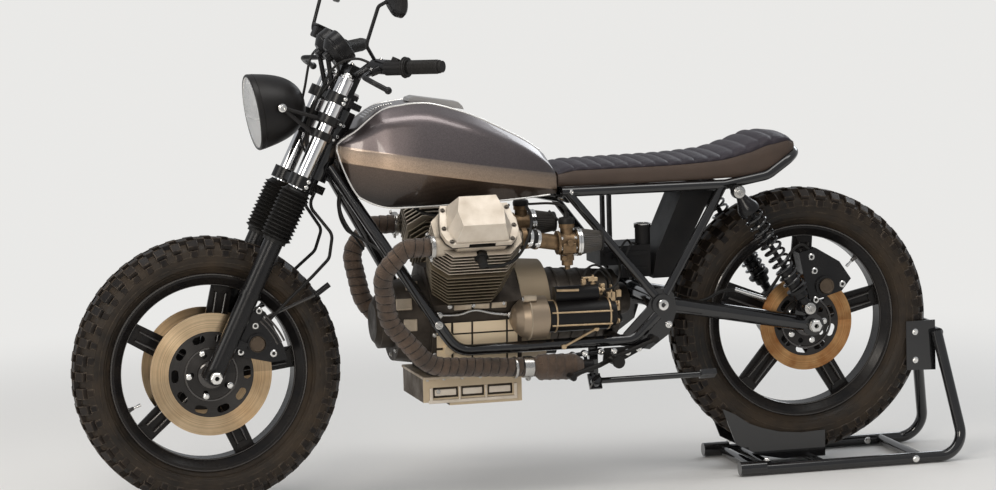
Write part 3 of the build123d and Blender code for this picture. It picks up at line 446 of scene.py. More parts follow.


# Looks of the plain materials. stain: colour, scale, amount; rough: where clean, where stained; wear: colour,
# width of the edge, amount; dust: colour, amount, share that needs a face on top; grime with painted shade in
# sheltered places: colour, reach, amount; grain: scale, depth; coat: weight, roughness
plainGrain, castGrain = (500.0, 0.0002), (420.0, 0.0006)
# The second colour is the dark of old oil, which also paints shade into sheltered recesses
roadDust, oilAndShade = (0.12, 0.09, 0.06), (0.012, 0.009, 0.006)
looks = {
    "framePaint": {"base": (0.006, 0.006, 0.007), "stain": ((0.018, 0.016, 0.014), 14.0, 0.3),
                   "wear": ((0.10, 0.09, 0.08), 0.0010, 0.18), "dust": (roadDust, 0.03, 0.6),
                   "rough": (0.14, 0.26), "coat": (1.0, 0.03), "specular": 0.3, "grain": (900.0, 0.00006)},
    "forkPaint": {"base": (0.008, 0.008, 0.009), "stain": ((0.022, 0.020, 0.018), 14.0, 0.3),
                  "wear": ((0.14, 0.13, 0.12), 0.0009, 0.2), "dust": (roadDust, 0.03, 0.6),
                  "rough": (0.24, 0.40), "specular": 0.3, "grain": (900.0, 0.00008)},
    "wheelPaint": {"base": (0.007, 0.007, 0.008), "stain": ((0.03, 0.024, 0.018), 14.0, 0.3),
                   "wear": ((0.16, 0.14, 0.12), 0.0012, 0.2), "dust": ((0.12, 0.085, 0.055), 0.08, 0.3),
                   "rough": (0.22, 0.42), "specular": 0.22},
    "castAlloy": {"base": (0.55, 0.46, 0.35), "stain": ((0.22, 0.16, 0.10), 16.0, 0.6),
                  "wear": ((0.78, 0.70, 0.58), 0.0012, 0.6), "grimeAndShade": ((0.020, 0.014, 0.009), 0.012, 0.95),
                  "rough": (0.42, 0.7), "metal": 0.6, "grain": castGrain},
    # The sump's dark colour, kept on all but its outer faces: painted shade on its front and underside
    "sumpAlloyShaded": {"base": (0.11, 0.080, 0.052), "stain": ((0.04, 0.029, 0.019), 16.0, 0.7),
                  "wear": ((0.62, 0.52, 0.38), 0.0014, 0.6), "grimeAndShade": (oilAndShade, 0.012, 1.0),
                  "rough": (0.42, 0.7), "metal": 0.5, "grain": castGrain},
    "barrelAlloy": {"base": (0.27, 0.22, 0.15), "stain": ((0.12, 0.09, 0.055), 16.0, 0.6),
                    "wear": ((0.50, 0.43, 0.33), 0.0012, 0.6), "grimeAndShade": (oilAndShade, 0.016, 1.0),
                    "rough": (0.45, 0.7), "metal": 0.6, "grain": castGrain},
    "headAlloy": {"base": (0.62, 0.54, 0.44), "stain": ((0.34, 0.26, 0.18), 18.0, 0.5),
                  "wear": ((0.85, 0.79, 0.69), 0.0012, 0.7), "grimeAndShade": ((0.020, 0.014, 0.009), 0.016, 1.0),
                  "rough": (0.42, 0.65), "metal": 0.5, "grain": castGrain},
    "coverAlloy": {"base": (0.74, 0.66, 0.56), "stain": ((0.50, 0.41, 0.31), 18.0, 0.5),
                   "wear": ((0.90, 0.86, 0.78), 0.0014, 0.4), "grimeAndShade": ((0.05, 0.036, 0.024), 0.010, 0.8),
                   "rough": (0.42, 0.62), "metal": 0.45, "grain": (520.0, 0.0006)},
    "caseAlloy": {"base": (0.050, 0.039, 0.029), "stain": ((0.018, 0.013, 0.010), 18.0, 0.7),
                  "wear": ((0.34, 0.27, 0.19), 0.0012, 0.4), "grimeAndShade": (oilAndShade, 0.012, 0.8),
                  "rough": (0.45, 0.7), "metal": 0.5, "grain": castGrain},
    "gearAlloy": {"base": (0.075, 0.062, 0.050), "stain": ((0.026, 0.020, 0.016), 20.0, 0.8),
                  "wear": ((0.32, 0.26, 0.20), 0.0012, 0.5), "grimeAndShade": ((0.010, 0.008, 0.006), 0.012, 0.8),
                  "rough": (0.42, 0.65), "metal": 0.6, "grain": castGrain},
    "carbMetal": {"base": (0.27, 0.175, 0.095), "stain": ((0.06, 0.040, 0.024), 34.0, 0.9),
                  "wear": ((0.72, 0.58, 0.38), 0.001, 0.7), "grimeAndShade": ((0.016, 0.010, 0.006), 0.010, 0.8),
                  "rough": (0.34, 0.55), "metal": 0.75, "grain": (600.0, 0.0004)},
    "tanMetal": {"base": (0.66, 0.49, 0.30), "stain": ((0.30, 0.19, 0.10), 60.0, 0.5), "rough": (0.30, 0.5),
                 "wear": ((0.90, 0.78, 0.58), 0.0008, 0.5), "metal": 0.7, "grain": (600.0, 0.0002)},
    "puckMetal": {"base": (0.115, 0.085, 0.060), "stain": ((0.05, 0.036, 0.026), 60.0, 0.6),
                  "rough": (0.35, 0.55), "wear": ((0.35, 0.28, 0.20), 0.0008, 0.5), "metal": 0.7,
                  "grain": (600.0, 0.0003)},
    "darkSteel": {"base": (0.12, 0.105, 0.09), "stain": ((0.05, 0.04, 0.03), 60.0, 0.5), "rough": (0.3, 0.5),
                  "metal": 0.9, "grain": (900.0, 0.0001)},
    "lidAlloy": {"base": (0.66, 0.63, 0.60), "stain": ((0.52, 0.49, 0.46), 6.0, 0.3), "rough": (0.26, 0.34),
                 "metal": 1.0, "grain": (900.0, 0.00002)},
    "lipPaint": {"base": (0.035, 0.031, 0.029), "stain": ((0.08, 0.065, 0.05), 30.0, 0.4),
                 "rough": (0.10, 0.22), "metal": 0.3, "coat": (0.8, 0.05), "grain": (900.0, 0.00003)},
    "reflector": {"base": (0.95, 0.91, 0.86), "stain": ((0.85, 0.80, 0.74), 14.0, 0.3), "rough": (0.22, 0.30),
                  "metal": 0.35, "grain": (900.0, 0.00003)},
    "bead": {"base": (0.93, 0.91, 0.88), "stain": ((0.80, 0.77, 0.72), 14.0, 0.3), "rough": (0.20, 0.30),
             "metal": 0.5, "grain": (900.0, 0.00003)},
    "lampBlack": {"base": (0.010, 0.009, 0.009), "stain": ((0.022, 0.018, 0.015), 14.0, 0.3),
                  "rough": (0.38, 0.48), "specular": 0.3, "grain": (900.0, 0.00003)},
    "steel": {"base": (0.56, 0.55, 0.53), "stain": ((0.34, 0.31, 0.27), 40.0, 0.4), "rough": (0.22, 0.4),
              "wear": ((0.8, 0.8, 0.78), 0.0006, 0.4), "metal": 1.0, "grain": (900.0, 0.0001)},
    "bright": {"base": (0.86, 0.85, 0.83), "stain": ((0.62, 0.60, 0.56), 40.0, 0.35), "rough": (0.12, 0.28),
               "metal": 1.0, "grain": (900.0, 0.00005)},
    "blackPlastic": {"base": (0.006, 0.006, 0.007), "stain": ((0.018, 0.016, 0.014), 14.0, 0.4),
                     "wear": ((0.06, 0.055, 0.05), 0.001, 0.2), "dust": (roadDust, 0.05, 0.6),
                     "rough": (0.40, 0.60), "specular": 0.22, "grain": (700.0, 0.0003)},
    "rubber": {"base": (0.009, 0.009, 0.009), "stain": ((0.024, 0.020, 0.017), 14.0, 0.4),
               "wear": ((0.05, 0.045, 0.04), 0.0012, 0.2), "dust": (roadDust, 0.05, 0.6),
               "rough": (0.40, 0.65), "specular": 0.25, "grain": (600.0, 0.0002)},
    "lugRubber": {"base": (0.006, 0.005, 0.005), "stain": ((0.030, 0.020, 0.013), 14.0, 0.6),
                  "wear": ((0.20, 0.155, 0.115), 0.0020, 0.8), "dust": ((0.16, 0.105, 0.06), 0.06, 0.0),
                  "rough": (0.36, 0.62), "specular": 0.22, "grain": (300.0, 0.0006)},
    "tyreRubber": {"base": (0.010, 0.009, 0.008), "stain": ((0.060, 0.041, 0.025), 6.0, 0.85),
                   "wear": ((0.11, 0.085, 0.060), 0.0018, 0.5), "dust": ((0.16, 0.10, 0.055), 0.08, 0.0),
                   "rough": (0.36, 0.66), "specular": 0.25, "grain": (260.0, 0.0008)},
    "filterCloth": {"base": (0.05, 0.045, 0.04), "stain": ((0.12, 0.10, 0.08), 60.0, 0.6),
                    "rough": (0.7, 0.9), "sheen": 0.3, "grain": (900.0, 0.001)},
    "paleMark": {"base": (0.75, 0.73, 0.68), "stain": ((0.6, 0.58, 0.5), 14.0, 0.5), "rough": (0.5, 0.6)},
    "discGold": {"base": (0.70, 0.53, 0.34), "stain": ((0.40, 0.25, 0.125), 7.0, 0.7), "rough": (0.28, 0.42),
                 "metal": 1.0, "grain": (900.0, 0.0001)},
    "discRust": {"base": (0.58, 0.34, 0.15), "stain": ((0.34, 0.11, 0.025), 12.0, 1.0), "rough": (0.3, 0.5),
                 "metal": 0.9, "grain": (900.0, 0.0002)},
}
looks["starterBlack"] = dict(looks["blackPlastic"], rough=(0.35, 0.5))


# Material by name; a plain one is made when it is first asked for
def finished(name):
    if name not in made:
        surface(name, looks[name])
    return made[name]


# Axles, and fork coordinates: forward square to the legs, to the left, up along the legs
axles = {"front": (0.783, 0.0, 0.331), "rear": (-0.737, 0.0, 0.366)}
fork = {"rake": 26.5, "half": 93}
forkTurn = radians(fork["rake"])
forkForward = Vector((cos(forkTurn), 0, sin(forkTurn)))
forkUp = Vector((-sin(forkTurn), 0, cos(forkTurn)))


# Point from fork coordinates in millimetres
def onFork(f, y, s):
    return Vector(axles["front"]) + forkForward * f / 1000 + Vector((0, y / 1000, 0)) + forkUp * s / 1000


# Masks that are 1 where a casting or leg has its second finish
def aboveSliders(tree, place):
    fromAxle = vectorMaths(tree, "SUBTRACT", place, axles["front"])
    return maths(tree, "GREATER_THAN", vectorMaths(tree, "DOT_PRODUCT", fromAxle, tuple(forkUp)), 0.40)


def aheadOf(limit):
    def mask(tree, place):
        return maths(tree, "GREATER_THAN", parts(tree, place)["X"], limit)
    return mask


# The sump's two outer faces, which take the light alloy colour; its other faces keep a dark colour, painted
# shade on its front
def outerFaces(tree, place):
    return maths(tree, "GREATER_THAN", maths(tree, "ABSOLUTE", parts(tree, place)["Y"]), 0.1032)


# The raised panels on the crankcase's lower sides, which slope with their height
def raisedPanels(tree, place):
    at = parts(tree, place)
    outward = maths(tree, "SUBTRACT", maths(tree, "ABSOLUTE", at["Y"]), product(tree, at["Z"], 0.07407))
    raised = maths(tree, "GREATER_THAN", outward, 0.0904)
    behindNose = maths(tree, "LESS_THAN", at["X"], 0.2425)
    return product(tree, product(tree, raised, behindNose), maths(tree, "LESS_THAN", at["Z"], 0.4285))


# The carrier within a disc
def carrier(wheel, radius):
    def mask(tree, place):
        fromAxle = vectorMaths(tree, "SUBTRACT", place, axles[wheel])
        return maths(tree, "LESS_THAN", axleReach(tree, fromAxle), radius)
    return mask


twoTones = {
    "forkLeg": {"look": "forkPaint", "mask": aboveSliders, "base": (0.78, 0.78, 0.79), "rough": 0.09,
                "metal": 1.0},
    "starter": {"look": "starterBlack", "mask": aheadOf(-0.0375), "base": (0.36, 0.285, 0.21), "rough": 0.42,
                "metal": 0.75},
    "crankcase": {"look": "caseAlloy", "mask": raisedPanels, "base": (0.82, 0.67, 0.47), "rough": 0.5,
                  "metal": 0.35},
    "gearbox": {"look": "gearAlloy", "mask": aheadOf(-0.062), "base": (0.34, 0.27, 0.185), "rough": 0.55,
                "metal": 0.55},
    # Sump: light alloy on its outer faces only; the dark rest is painted shade on its front
    "sump": {"look": "sumpAlloyShaded", "mask": outerFaces, "base": (0.56, 0.45, 0.31), "rough": 0.5, "metal": 0.4},
    "frontDisc": {"look": "discGold", "mask": carrier("front", 0.105), "base": (0.03, 0.027, 0.025),
                  "rough": 0.5, "metal": 0.2},
    "rearDisc": {"look": "discRust", "mask": carrier("rear", 0.085), "base": (0.03, 0.027, 0.025),
                 "rough": 0.5, "metal": 0.2},
}


# A plain material with a second colour, roughness and metal where the mask is 1
def twoTone(name, other):
    look = looks[other["look"]]
    tree, shader, place = surface(name, look)
    mask = other["mask"](tree, place)
    shade, rough = (shader.inputs[label].links[0].from_socket for label in ("Base Color", "Roughness"))
    feed(tree, shader, {
        "Base Color": mixColour(tree, mask, shade, colour(other["base"])),
        "Roughness": mixNumber(tree, mask, rough, other["rough"]),
        "Metallic": mixNumber(tree, mask, look.get("metal", 0.0), other["metal"]),
    })
    return tree, shader, place


for name, other in twoTones.items():
    tree, shader, place = twoTone(name, other)
    if name.endswith("Disc"):
        wheel = name[:-len("Disc")]
        shade = shader.inputs["Base Color"].links[0].from_socket
        turned = addNode(tree, "ShaderNodeTangent", direction_type="RADIAL", axis="Y")
        feed(tree, shader, {
            "Base Color": useGroup(tree, rings, Vector=place, Colour=shade, Axle=axles[wheel])["Colour"],
            "Tangent": turned.outputs[0],
            "Anisotropic": 0.85,
            "Anisotropic Rotation": 0.25,
        })

# Carried-over nodes and their materials
nodeLooks = {
    "framePaint": ["head_stock", "frame_cradle_left", "frame_cradle_right", "seat_rails", "frame_stays",
                   "swingarm", "chock_base", "chock_cradle", "side_stand"],
    "forkPaint": ["fork_yokes", "handlebar", "hand_levers", "mirrors", "gauges", "front_calipers",
                  "bevel_drive", "rear_caliper", "rear_shocks"],
    "wheelPaint": ["front_rim", "rear_rim"],
    "sump": ["sump"],
    "crankcase": ["crankcase"],
    "barrelAlloy": ["cylinder_left", "cylinder_right"],
    "headAlloy": ["cylinder_head_left", "cylinder_head_right"],
    "coverAlloy": ["rocker_cover_left", "rocker_cover_right"],
    "gearbox": ["gearbox"],
    "lidAlloy": ["tank_lid"],
    "lampBlack": ["headlamp_bowl"],
    "carbMetal": ["carburettors"],
    "filterCloth": ["air_filters"],
    "steel": ["front_axle", "rear_axle"],
    "blackPlastic": ["rear_fender", "electrics"],
    "rubber": ["fork_gaiters", "grips", "brake_hoses", "footrests"],
    "tyreRubber": ["front_tyre", "rear_tyre"],
    "forkLeg": ["fork_leg_left", "fork_leg_right"],
    "frontDisc": ["front_discs"],
    "rearDisc": ["rear_disc"],
    "starter": ["starter_motor"],
}
for finish, names in nodeLooks.items():
    for name in names:
        nodes[name].data.materials.clear()
        nodes[name].data.materials.append(finished(finish))
print("materials made")

# Floor and backdrop: pale to the eye, dimmer as a source of light
stageLook = {
    "floor": colour((0.84, 0.83, 0.81)),
    "sky": colour((0.82, 0.815, 0.80)),
    "light": colour((0.95, 0.97, 1.0)),
    "fill": 0.42,
    "near": 1.5,
    "far": 3.2,
    "size": 60,
}


# 1 for what the camera sees straight on or through glass
def watched(tree):
    rays = addNode(tree, "ShaderNodeLightPath").outputs
    return maths(tree, "MAXIMUM", rays["Is Camera Ray"], rays["Is Transmission Ray"])


mesh = bmesh.new()
bmesh.ops.create_grid(mesh, x_segments=1, y_segments=1, size=stageLook["size"])
floorData = bpy.data.meshes.new("floor")
mesh.to_mesh(floorData)
mesh.free()
floor = bpy.data.objects.new("floor", floorData)
floor.location = (0, 0, -0.001)
scene.collection.objects.link(floor)
tree, shader, place = newMaterial("floor")
floorData.materials.append(made["floor"])
feed(tree, shader, {"Base Color": stageLook["floor"], "Roughness": 0.85, "Specular IOR Level": 0.2})
away = mapRange(tree, vectorMaths(tree, "LENGTH", place), stageLook["near"], stageLook["far"],
                curve="SMOOTHSTEP")
pale = addNode(tree, "ShaderNodeEmission", {"Color": stageLook["sky"], "Strength": 1.0})
faded = addNode(tree, "ShaderNodeMixShader", {0: product(tree, watched(tree), away), 1: shader.outputs[0],
                                             2: pale.outputs[0]})
feed(tree, tree.nodes["Material Output"], {"Surface": faded.outputs[0]})

world = bpy.data.worlds.new("world")
scene.world = world
world.use_nodes = True
tree = world.node_tree
background = tree.nodes["Background"]
feed(tree, background, {"Color": stageLook["light"], "Strength": stageLook["fill"]})
shown = addNode(tree, "ShaderNodeBackground", {"Color": stageLook["sky"], "Strength": 1.0})
choice = addNode(tree, "ShaderNodeMixShader", {0: watched(tree), 1: background.outputs[0],
                                               2: shown.outputs[0]})
feed(tree, tree.nodes["World Output"], {"Surface": choice.outputs[0]})

lamps = {
    "overhead": {"place": (0.3, 0.6, 3.6), "aim": (0, 0, 0.5), "size": (5.0, 1.1), "power": 60.0,
                 "tint": (1.0, 0.98, 0.95)},
    "key": {"place": (2.6, 4.6, 2.4), "aim": (0, 0, 0.55), "size": (2.0, 1.2), "power": 72.0,
            "tint": (1.0, 0.93, 0.84)},
    "rear": {"place": (-3.2, -3.0, 2.6), "aim": (0, 0, 0.6), "size": (2.4, 1.4), "power": 36.0,
             "tint": (0.92, 0.96, 1.0)},
    "front": {"place": (4.0, 0.6, 1.8), "aim": (0.4, 0, 0.6), "size": (1.4, 1.8), "power": 26.0,
              "tint": (1.0, 0.96, 0.9)},
}
for name, lamp in lamps.items():
    light = bpy.data.lights.new(name, "AREA")
    light.shape = "RECTANGLE"
    light.size, light.size_y = lamp["size"]
    light.energy = lamp["power"]
    light.color = lamp["tint"]
    holder = bpy.data.objects.new(name, light)
    away = Vector(lamp["place"]) - Vector(lamp["aim"])
    turn = away.to_track_quat("Z", "Y").to_matrix().to_4x4()
    holder.matrix_world = Matrix.Translation(lamp["place"]) @ turn
    scene.collection.objects.link(holder)
print("stage made")

# Tyres: carcass with ribs round the side wall and staggered block lugs
tyreLook = {
    "blocks": 48,
    "share": 0.74,
    "crownShare": 0.66,
    "sideShare": 0.72,
    "short": 0.86,
    "draft": 0.07,
    "bevel": 0.0012,
    "rib": 0.0012,
    "rim": 0.243,
}
tyres = {"front": {"radius": 0.331, "half": 0.055}, "rear": {"radius": 0.335, "half": 0.058}}
carcassShares = [0.0, 0.09, 0.18, 0.26, 0.34, 0.40, 0.46, 0.51, 0.56, 0.60, 0.605, 0.615, 0.62, 0.68, 0.72,
                 0.725, 0.735, 0.74, 0.80, 0.85, 0.855, 0.87, 0.875, 0.90, 0.93, 0.96, 0.98, 1.0]
ribShares = {0.605, 0.615, 0.725, 0.735, 0.855, 0.87}


# Radius and y of the carcass at a share from the middle, 0, to the bead, 1
def tyreSurface(tyre, across):
    radius, half, rim = tyre["radius"], tyre["half"], tyreLook["rim"]
    rows = [(0.0, radius - 0.009, 0.0), (0.18, radius - 0.0105, 0.018), (0.34, radius - 0.016, 0.034),
            (0.46, radius - 0.024, half - 0.010), (0.56, radius - 0.036, half - 0.004),
            (0.68, radius - 0.052, half - 0.001), (0.80, radius - 0.068, half - 0.004),
            (0.90, rim + 0.010, half - 0.014), (0.96, rim + 0.0025, 0.0345), (1.0, rim - 0.006, 0.0285)]
    for (a, r0, y0), (b, r1, y1) in zip(rows, rows[1:]):
        if across <= b:
            t = (across - a) / (b - a)
            return r0 + (r1 - r0) * t, y0 + (y1 - y0) * t


# Lug at an angle; low and high give (radius, y) at its inner and outer edge, at its base and top
def addLug(mesh, axle, way, middle, wide, low, high):
    first, last = middle - wide, middle + wide
    inset = (last - first) * tyreLook["draft"]
    for vertex in bmesh.ops.create_cube(mesh, size=2)["verts"]:
        along, across, up = vertex.co
        radius, y = (high if up > 0 else low)[across > 0]
        angle = last - inset * (up > 0) if along > 0 else first + inset * (up > 0)
        vertex.co = (axle[0] + radius * cos(angle), way * y, axle[2] + radius * sin(angle))


def tyreLugs(tyre, axle):
    radius, half = tyre["radius"], tyre["half"]
    pitch = 2 * pi / tyreLook["blocks"]
    mesh = bmesh.new()
    for number in range(tyreLook["blocks"]):
        long = number % 2
        wide = pitch * tyreLook["share"] / 2 * (1.0 if long else tyreLook["short"])
        shoulderEdge = radius - (0.016 if long else 0.018)
        for way in (-1, 1):
            middle = (number + 0.25 * way) * pitch
            addLug(mesh, axle, way, middle, wide, [(radius - 0.016, 0.031), (radius - 0.031, half - 0.008)],
                   [(radius - 0.0032, 0.030), (shoulderEdge, half - 0.0035)])
            addLug(mesh, axle, way, middle, wide * tyreLook["sideShare"],
                   [(radius - 0.030, half - 0.009), (radius - 0.046, half - 0.004)],
                   [(radius - 0.0265, half - 0.0025), (radius - 0.043, half)])
            addLug(mesh, axle, way, (number + 0.25 * way + 0.5) * pitch, pitch * tyreLook["crownShare"] / 2,
                   [(radius - 0.011, 0.0035), (radius - 0.014, 0.0265)],
                   [(radius - 0.0002, 0.0035), (radius - 0.0012, 0.0255)])
    bevelEdges(mesh, tyreLook["bevel"])
    return mesh


for side, tyre in tyres.items():
    mesh = bmesh.new()
    profile = []
    for share in carcassShares:
        radius, y = tyreSurface(tyre, share)
        profile.append((radius, y + (tyreLook["rib"] if share in ribShares else 0)))
    profile = [(r, -y) for r, y in profile[:0:-1]] + profile
    addLathe(mesh, profile + profile[:1], axles[side], (0, 1, 0), 144)
    addTo(mesh, tyreLugs(tyre, axles[side]), material=1)
    piece = newPiece(f"{side}Tyre", mesh, f"{side}_wheel", "tyre", "tyreRubber", "lugRubber", smooth=30)
    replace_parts(piece, f"{side}_tyre")
print("tyres made")

# Tank: smooth skin through the stations of the CAD tank. A row holds x, the height and half width of the
# bottom and of the crease, the height of the crease's upper edge, the height and half width of the shoulder
# and of the top, and the share of the corner radii
tankRows = [
    (450, 850, 58, 857, 64, 866, 870, 62, 874, 54, 0.1),
    (438, 806, 68, 838, 76, 864, 877, 72, 885, 58, 0.35),
    (404, 742, 88, 820, 92, 858, 889, 84, 908, 62, 0.7),
    (330, 716, 112, 810, 128, 850, 925, 104, 958, 58, 1.0),
    (243, 716, 118, 797, 143, 837, 935, 116, 967, 60, 1.0),
    (155, 718, 118, 782, 145, 821, 915, 116, 946, 58, 1.0),
    (42, 721, 112, 762, 132, 799, 868, 104, 896, 50, 1.0),
    (-70, 727, 98, 742, 104, 778, 805, 90, 824, 44, 0.5),
    (-88, 729, 92, 740, 98, 772, 784, 84, 792, 44, 0.2),
]
tankLook = {
    "cornerRadii": (10, 7, 9, 52, 44),
    "cornerSteps": 7,
    "stationGap": 12,
    "beadRadius": 0.0026,
    "flake": 900.0,
    "slope": 0.172,
    "low": 0.66,
    "high": 0.96,
    # Heights and colours of the bands: the paint's colours with a painted highlight along the crease, a
    # painted sky reflection above it and painted shade on the underside
    "paintAndLightBands": [
        (0.6750, (0.014, 0.011, 0.010)),
        (0.7000, (0.050, 0.037, 0.030)),
        (0.7535, (0.105, 0.073, 0.055)),
        (0.7555, (0.54, 0.390, 0.275)),
        (0.7800, (0.48, 0.360, 0.268)),
        (0.7925, (0.33, 0.262, 0.212)),
        (0.7950, (0.130, 0.108, 0.109)),
        (0.9000, (0.185, 0.156, 0.158)),
    ],
}


# Slope per unit of falling x at row j, flat where the values turn
def slopeAt(rows, j, k):
    if j in (0, len(rows) - 1):
        near = min(j, len(rows) - 2)
        return (rows[near + 1][k] - rows[near][k]) / (rows[near][0] - rows[near + 1][0])
    left = (rows[j][k] - rows[j - 1][k]) / (rows[j - 1][0] - rows[j][0])
    right = (rows[j + 1][k] - rows[j][k]) / (rows[j][0] - rows[j + 1][0])
    return 0.0 if left * right <= 0 else 2 * left * right / (left + right)


# Row of values at x by a monotone cubic between the stations
def rowAt(rows, x):
    i = 0
    while i < len(rows) - 2 and x < rows[i + 1][0]:
        i += 1
    a, b = rows[i], rows[i + 1]
    span = a[0] - b[0]
    t = (a[0] - x) / span
    h00, h10 = 2 * t ** 3 - 3 * t ** 2 + 1, t ** 3 - 2 * t ** 2 + t
    h01, h11 = 3 * t ** 2 - 2 * t ** 3, t ** 3 - t ** 2
    values = [x]
    for k in range(1, len(a)):
        first, last = slopeAt(rows, i, k), slopeAt(rows, i + 1, k)
        values.append(h00 * a[k] + h10 * span * first + h01 * b[k] + h11 * span * last)
    return values


# Half section with rounded corners; the first and last point stay
def roundedHalf(points, radii, steps):
    out = []
    mirrored = [(-points[0][0], points[0][1])] + points + [(-points[-1][0], points[-1][1])]
    for before, here, after, radius in zip(mirrored, points, mirrored[2:], radii):
        here = Vector(here)
        u, v = Vector(before) - here, Vector(after) - here
        angle = acos(max(-1, min(1, u.normalized().dot(v.normalized()))))
        reach = radius / tan(angle / 2) if angle < pi - 1e-3 else 0
        cut = min(reach, u.length * 0.49, v.length * 0.49)
        start, end = here + u.normalized() * cut, here + v.normalized() * cut
        for step in range(steps + 1):
            t = step / steps
            out.append((1 - t) ** 2 * start + 2 * t * (1 - t) * here + t ** 2 * end)
    return out


def tankHalf(x):
    row = rowAt(tankRows, x)
    _, bottomZ, bottomY, lowZ, crease, highZ, shoulderZ, shoulderY, topZ, topY, roundness = row
    half = [(bottomY, bottomZ), (crease, lowZ), (crease - 2, highZ), (shoulderY, shoulderZ), (topY, topZ)]
    return roundedHalf(half, [r * roundness for r in tankLook["cornerRadii"]], tankLook["cornerSteps"])


# Metallic paint in bands that rise forward, with flakes. The bands hold painted light: a bright painted
# highlight along the crease, a painted sky reflection above it and painted shade below; the paint is also
# darker towards the rear, painted shade under the seat
def tankPaintAndLight():
    tree, shader, place = newMaterial("tankPaintAndLight")
    at = parts(tree, place)
    level = maths(tree, "SUBTRACT", at["Z"], product(tree, at["X"], tankLook["slope"]))
    low, high = tankLook["low"], tankLook["high"]
    ramp = addNode(tree, "ShaderNodeValToRGB", {0: mapRange(tree, level, low, high)})
    elements, paintAndLightBands = ramp.color_ramp.elements, tankLook["paintAndLightBands"]
    while len(elements) < len(paintAndLightBands):
        elements.new(0.5)
    for element, (height, shade) in zip(elements, paintAndLightBands):
        element.position = (height - low) / (high - low)
        element.color = colour(shade)
    # Darker towards the rear: painted shade under the seat
    bandedAndShaded = toned(tree, ramp.outputs[0], mapRange(tree, at["X"], -0.08, 0.22, 0.62, 1.0))
    stained = useGroup(tree, mottle, Vector=place, Base=bandedAndShaded, Stain=colour((0.15, 0.13, 0.125)), Scale=3.0,
                       Amount=0.15)
    flakes = addNode(tree, "ShaderNodeTexVoronoi", {"Vector": place, "Scale": tankLook["flake"]})
    tone = addNode(tree, "ShaderNodeSeparateColor", {0: flakes.outputs["Color"]}).outputs[0]
    glinting = toned(tree, stained["Colour"], mapRange(tree, tone, 0.0, 1.0, 0.82, 1.25))
    feed(tree, shader, {"Base Color": glinting, "Metallic": 0.85, "Roughness": 0.34, "Coat Weight": 0.6,
                        "Coat Roughness": 0.05})


mesh = bmesh.new()
stations = []
for (a, *_), (b, *_) in zip(tankRows, tankRows[1:]):
    steps = max(2, int(abs(a - b) / tankLook["stationGap"]))
    stations += [a + (b - a) * step / steps for step in range(steps)]
sections = []
for x in stations + [tankRows[-1][0]]:
    half = tankHalf(x)
    sections.append([metres((x, y, z)) for y, z in half + [(-y, z) for y, z in half[::-1]]])
addSkin(mesh, sections)
tankPaintAndLight()
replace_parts(newPiece("tank", mesh, "chassis", "tank_paint", "tankPaintAndLight", smooth=50), "fuel_tank")


# Middle of a rounded corner of the tank's left half at x, in millimetres
def tankCorner(x, index):
    y, z = tankHalf(x)[index * (tankLook["cornerSteps"] + 1) + tankLook["cornerSteps"] // 2]
    return (x, y, z)


# Bright bead round each side: along the top corner, down the nose, back along the bottom
mesh = bmesh.new()
beadRoute = [tankCorner(x, 4) for x in (-60, -20, 30, 90, 150, 210, 256, 290, 330, 370, 404, 425, 440, 449)]
beadRoute += [(452.0, 56.0, 868.0), (453.0, 59.0, 858.0)]
beadRoute += [tankCorner(x, 0) for x in (449, 444, 430, 412, 396, 370, 330, 280, 220, 150, 80, 20, -40, -70)]
for way in (1, -1):
    addCord(mesh, [(x, way * y, z) for x, y, z in beadRoute], tankLook["beadRadius"], 10, 5)
newPiece("tankBead", mesh, "chassis", "chrome", "bead")
print("tank made")

# Seat: plain side band below a top panel of sewn rolls. A row holds x, bottom, top and half width
seatRows = [
    (-92, 745, 786, 100),
    (-140, 744, 798, 108),
    (-360, 744, 799, 118),
    (-500, 745, 806, 118),
    (-580, 746, 826, 116),
    (-640, 759, 845, 112),
    (-684, 784, 846, 104),
    (-706, 804, 832, 92),
]
seatLook = {
    "topShare": 0.26,
    "rolls": 17,
    "rollDepth": 5.0,
    "first": -100.0,
    "last": -680.0,
    "crown": 3.0,
    "stations": 190,
    "taper": 14,
    "hides": {
        "leatherTop": ((0.019, 0.015, 0.022), (0.042, 0.033, 0.042)),
        "leatherSide": ((0.080, 0.054, 0.040), (0.050, 0.034, 0.026)),
    },
}
seatFront, seatBack = seatRows[0][0], seatRows[-1][0]


# Rise of the rolls above their seams at x, from 0 to 1
def rollHeight(x):
    first, last = seatLook["first"], seatLook["last"]
    if not last < x < first:
        return 0.55
    along = (first - x) / (first - last) * seatLook["rolls"]
    across = 2 * (along - int(along)) - 1
    return sqrt(max(0.0, 1 - across * across))


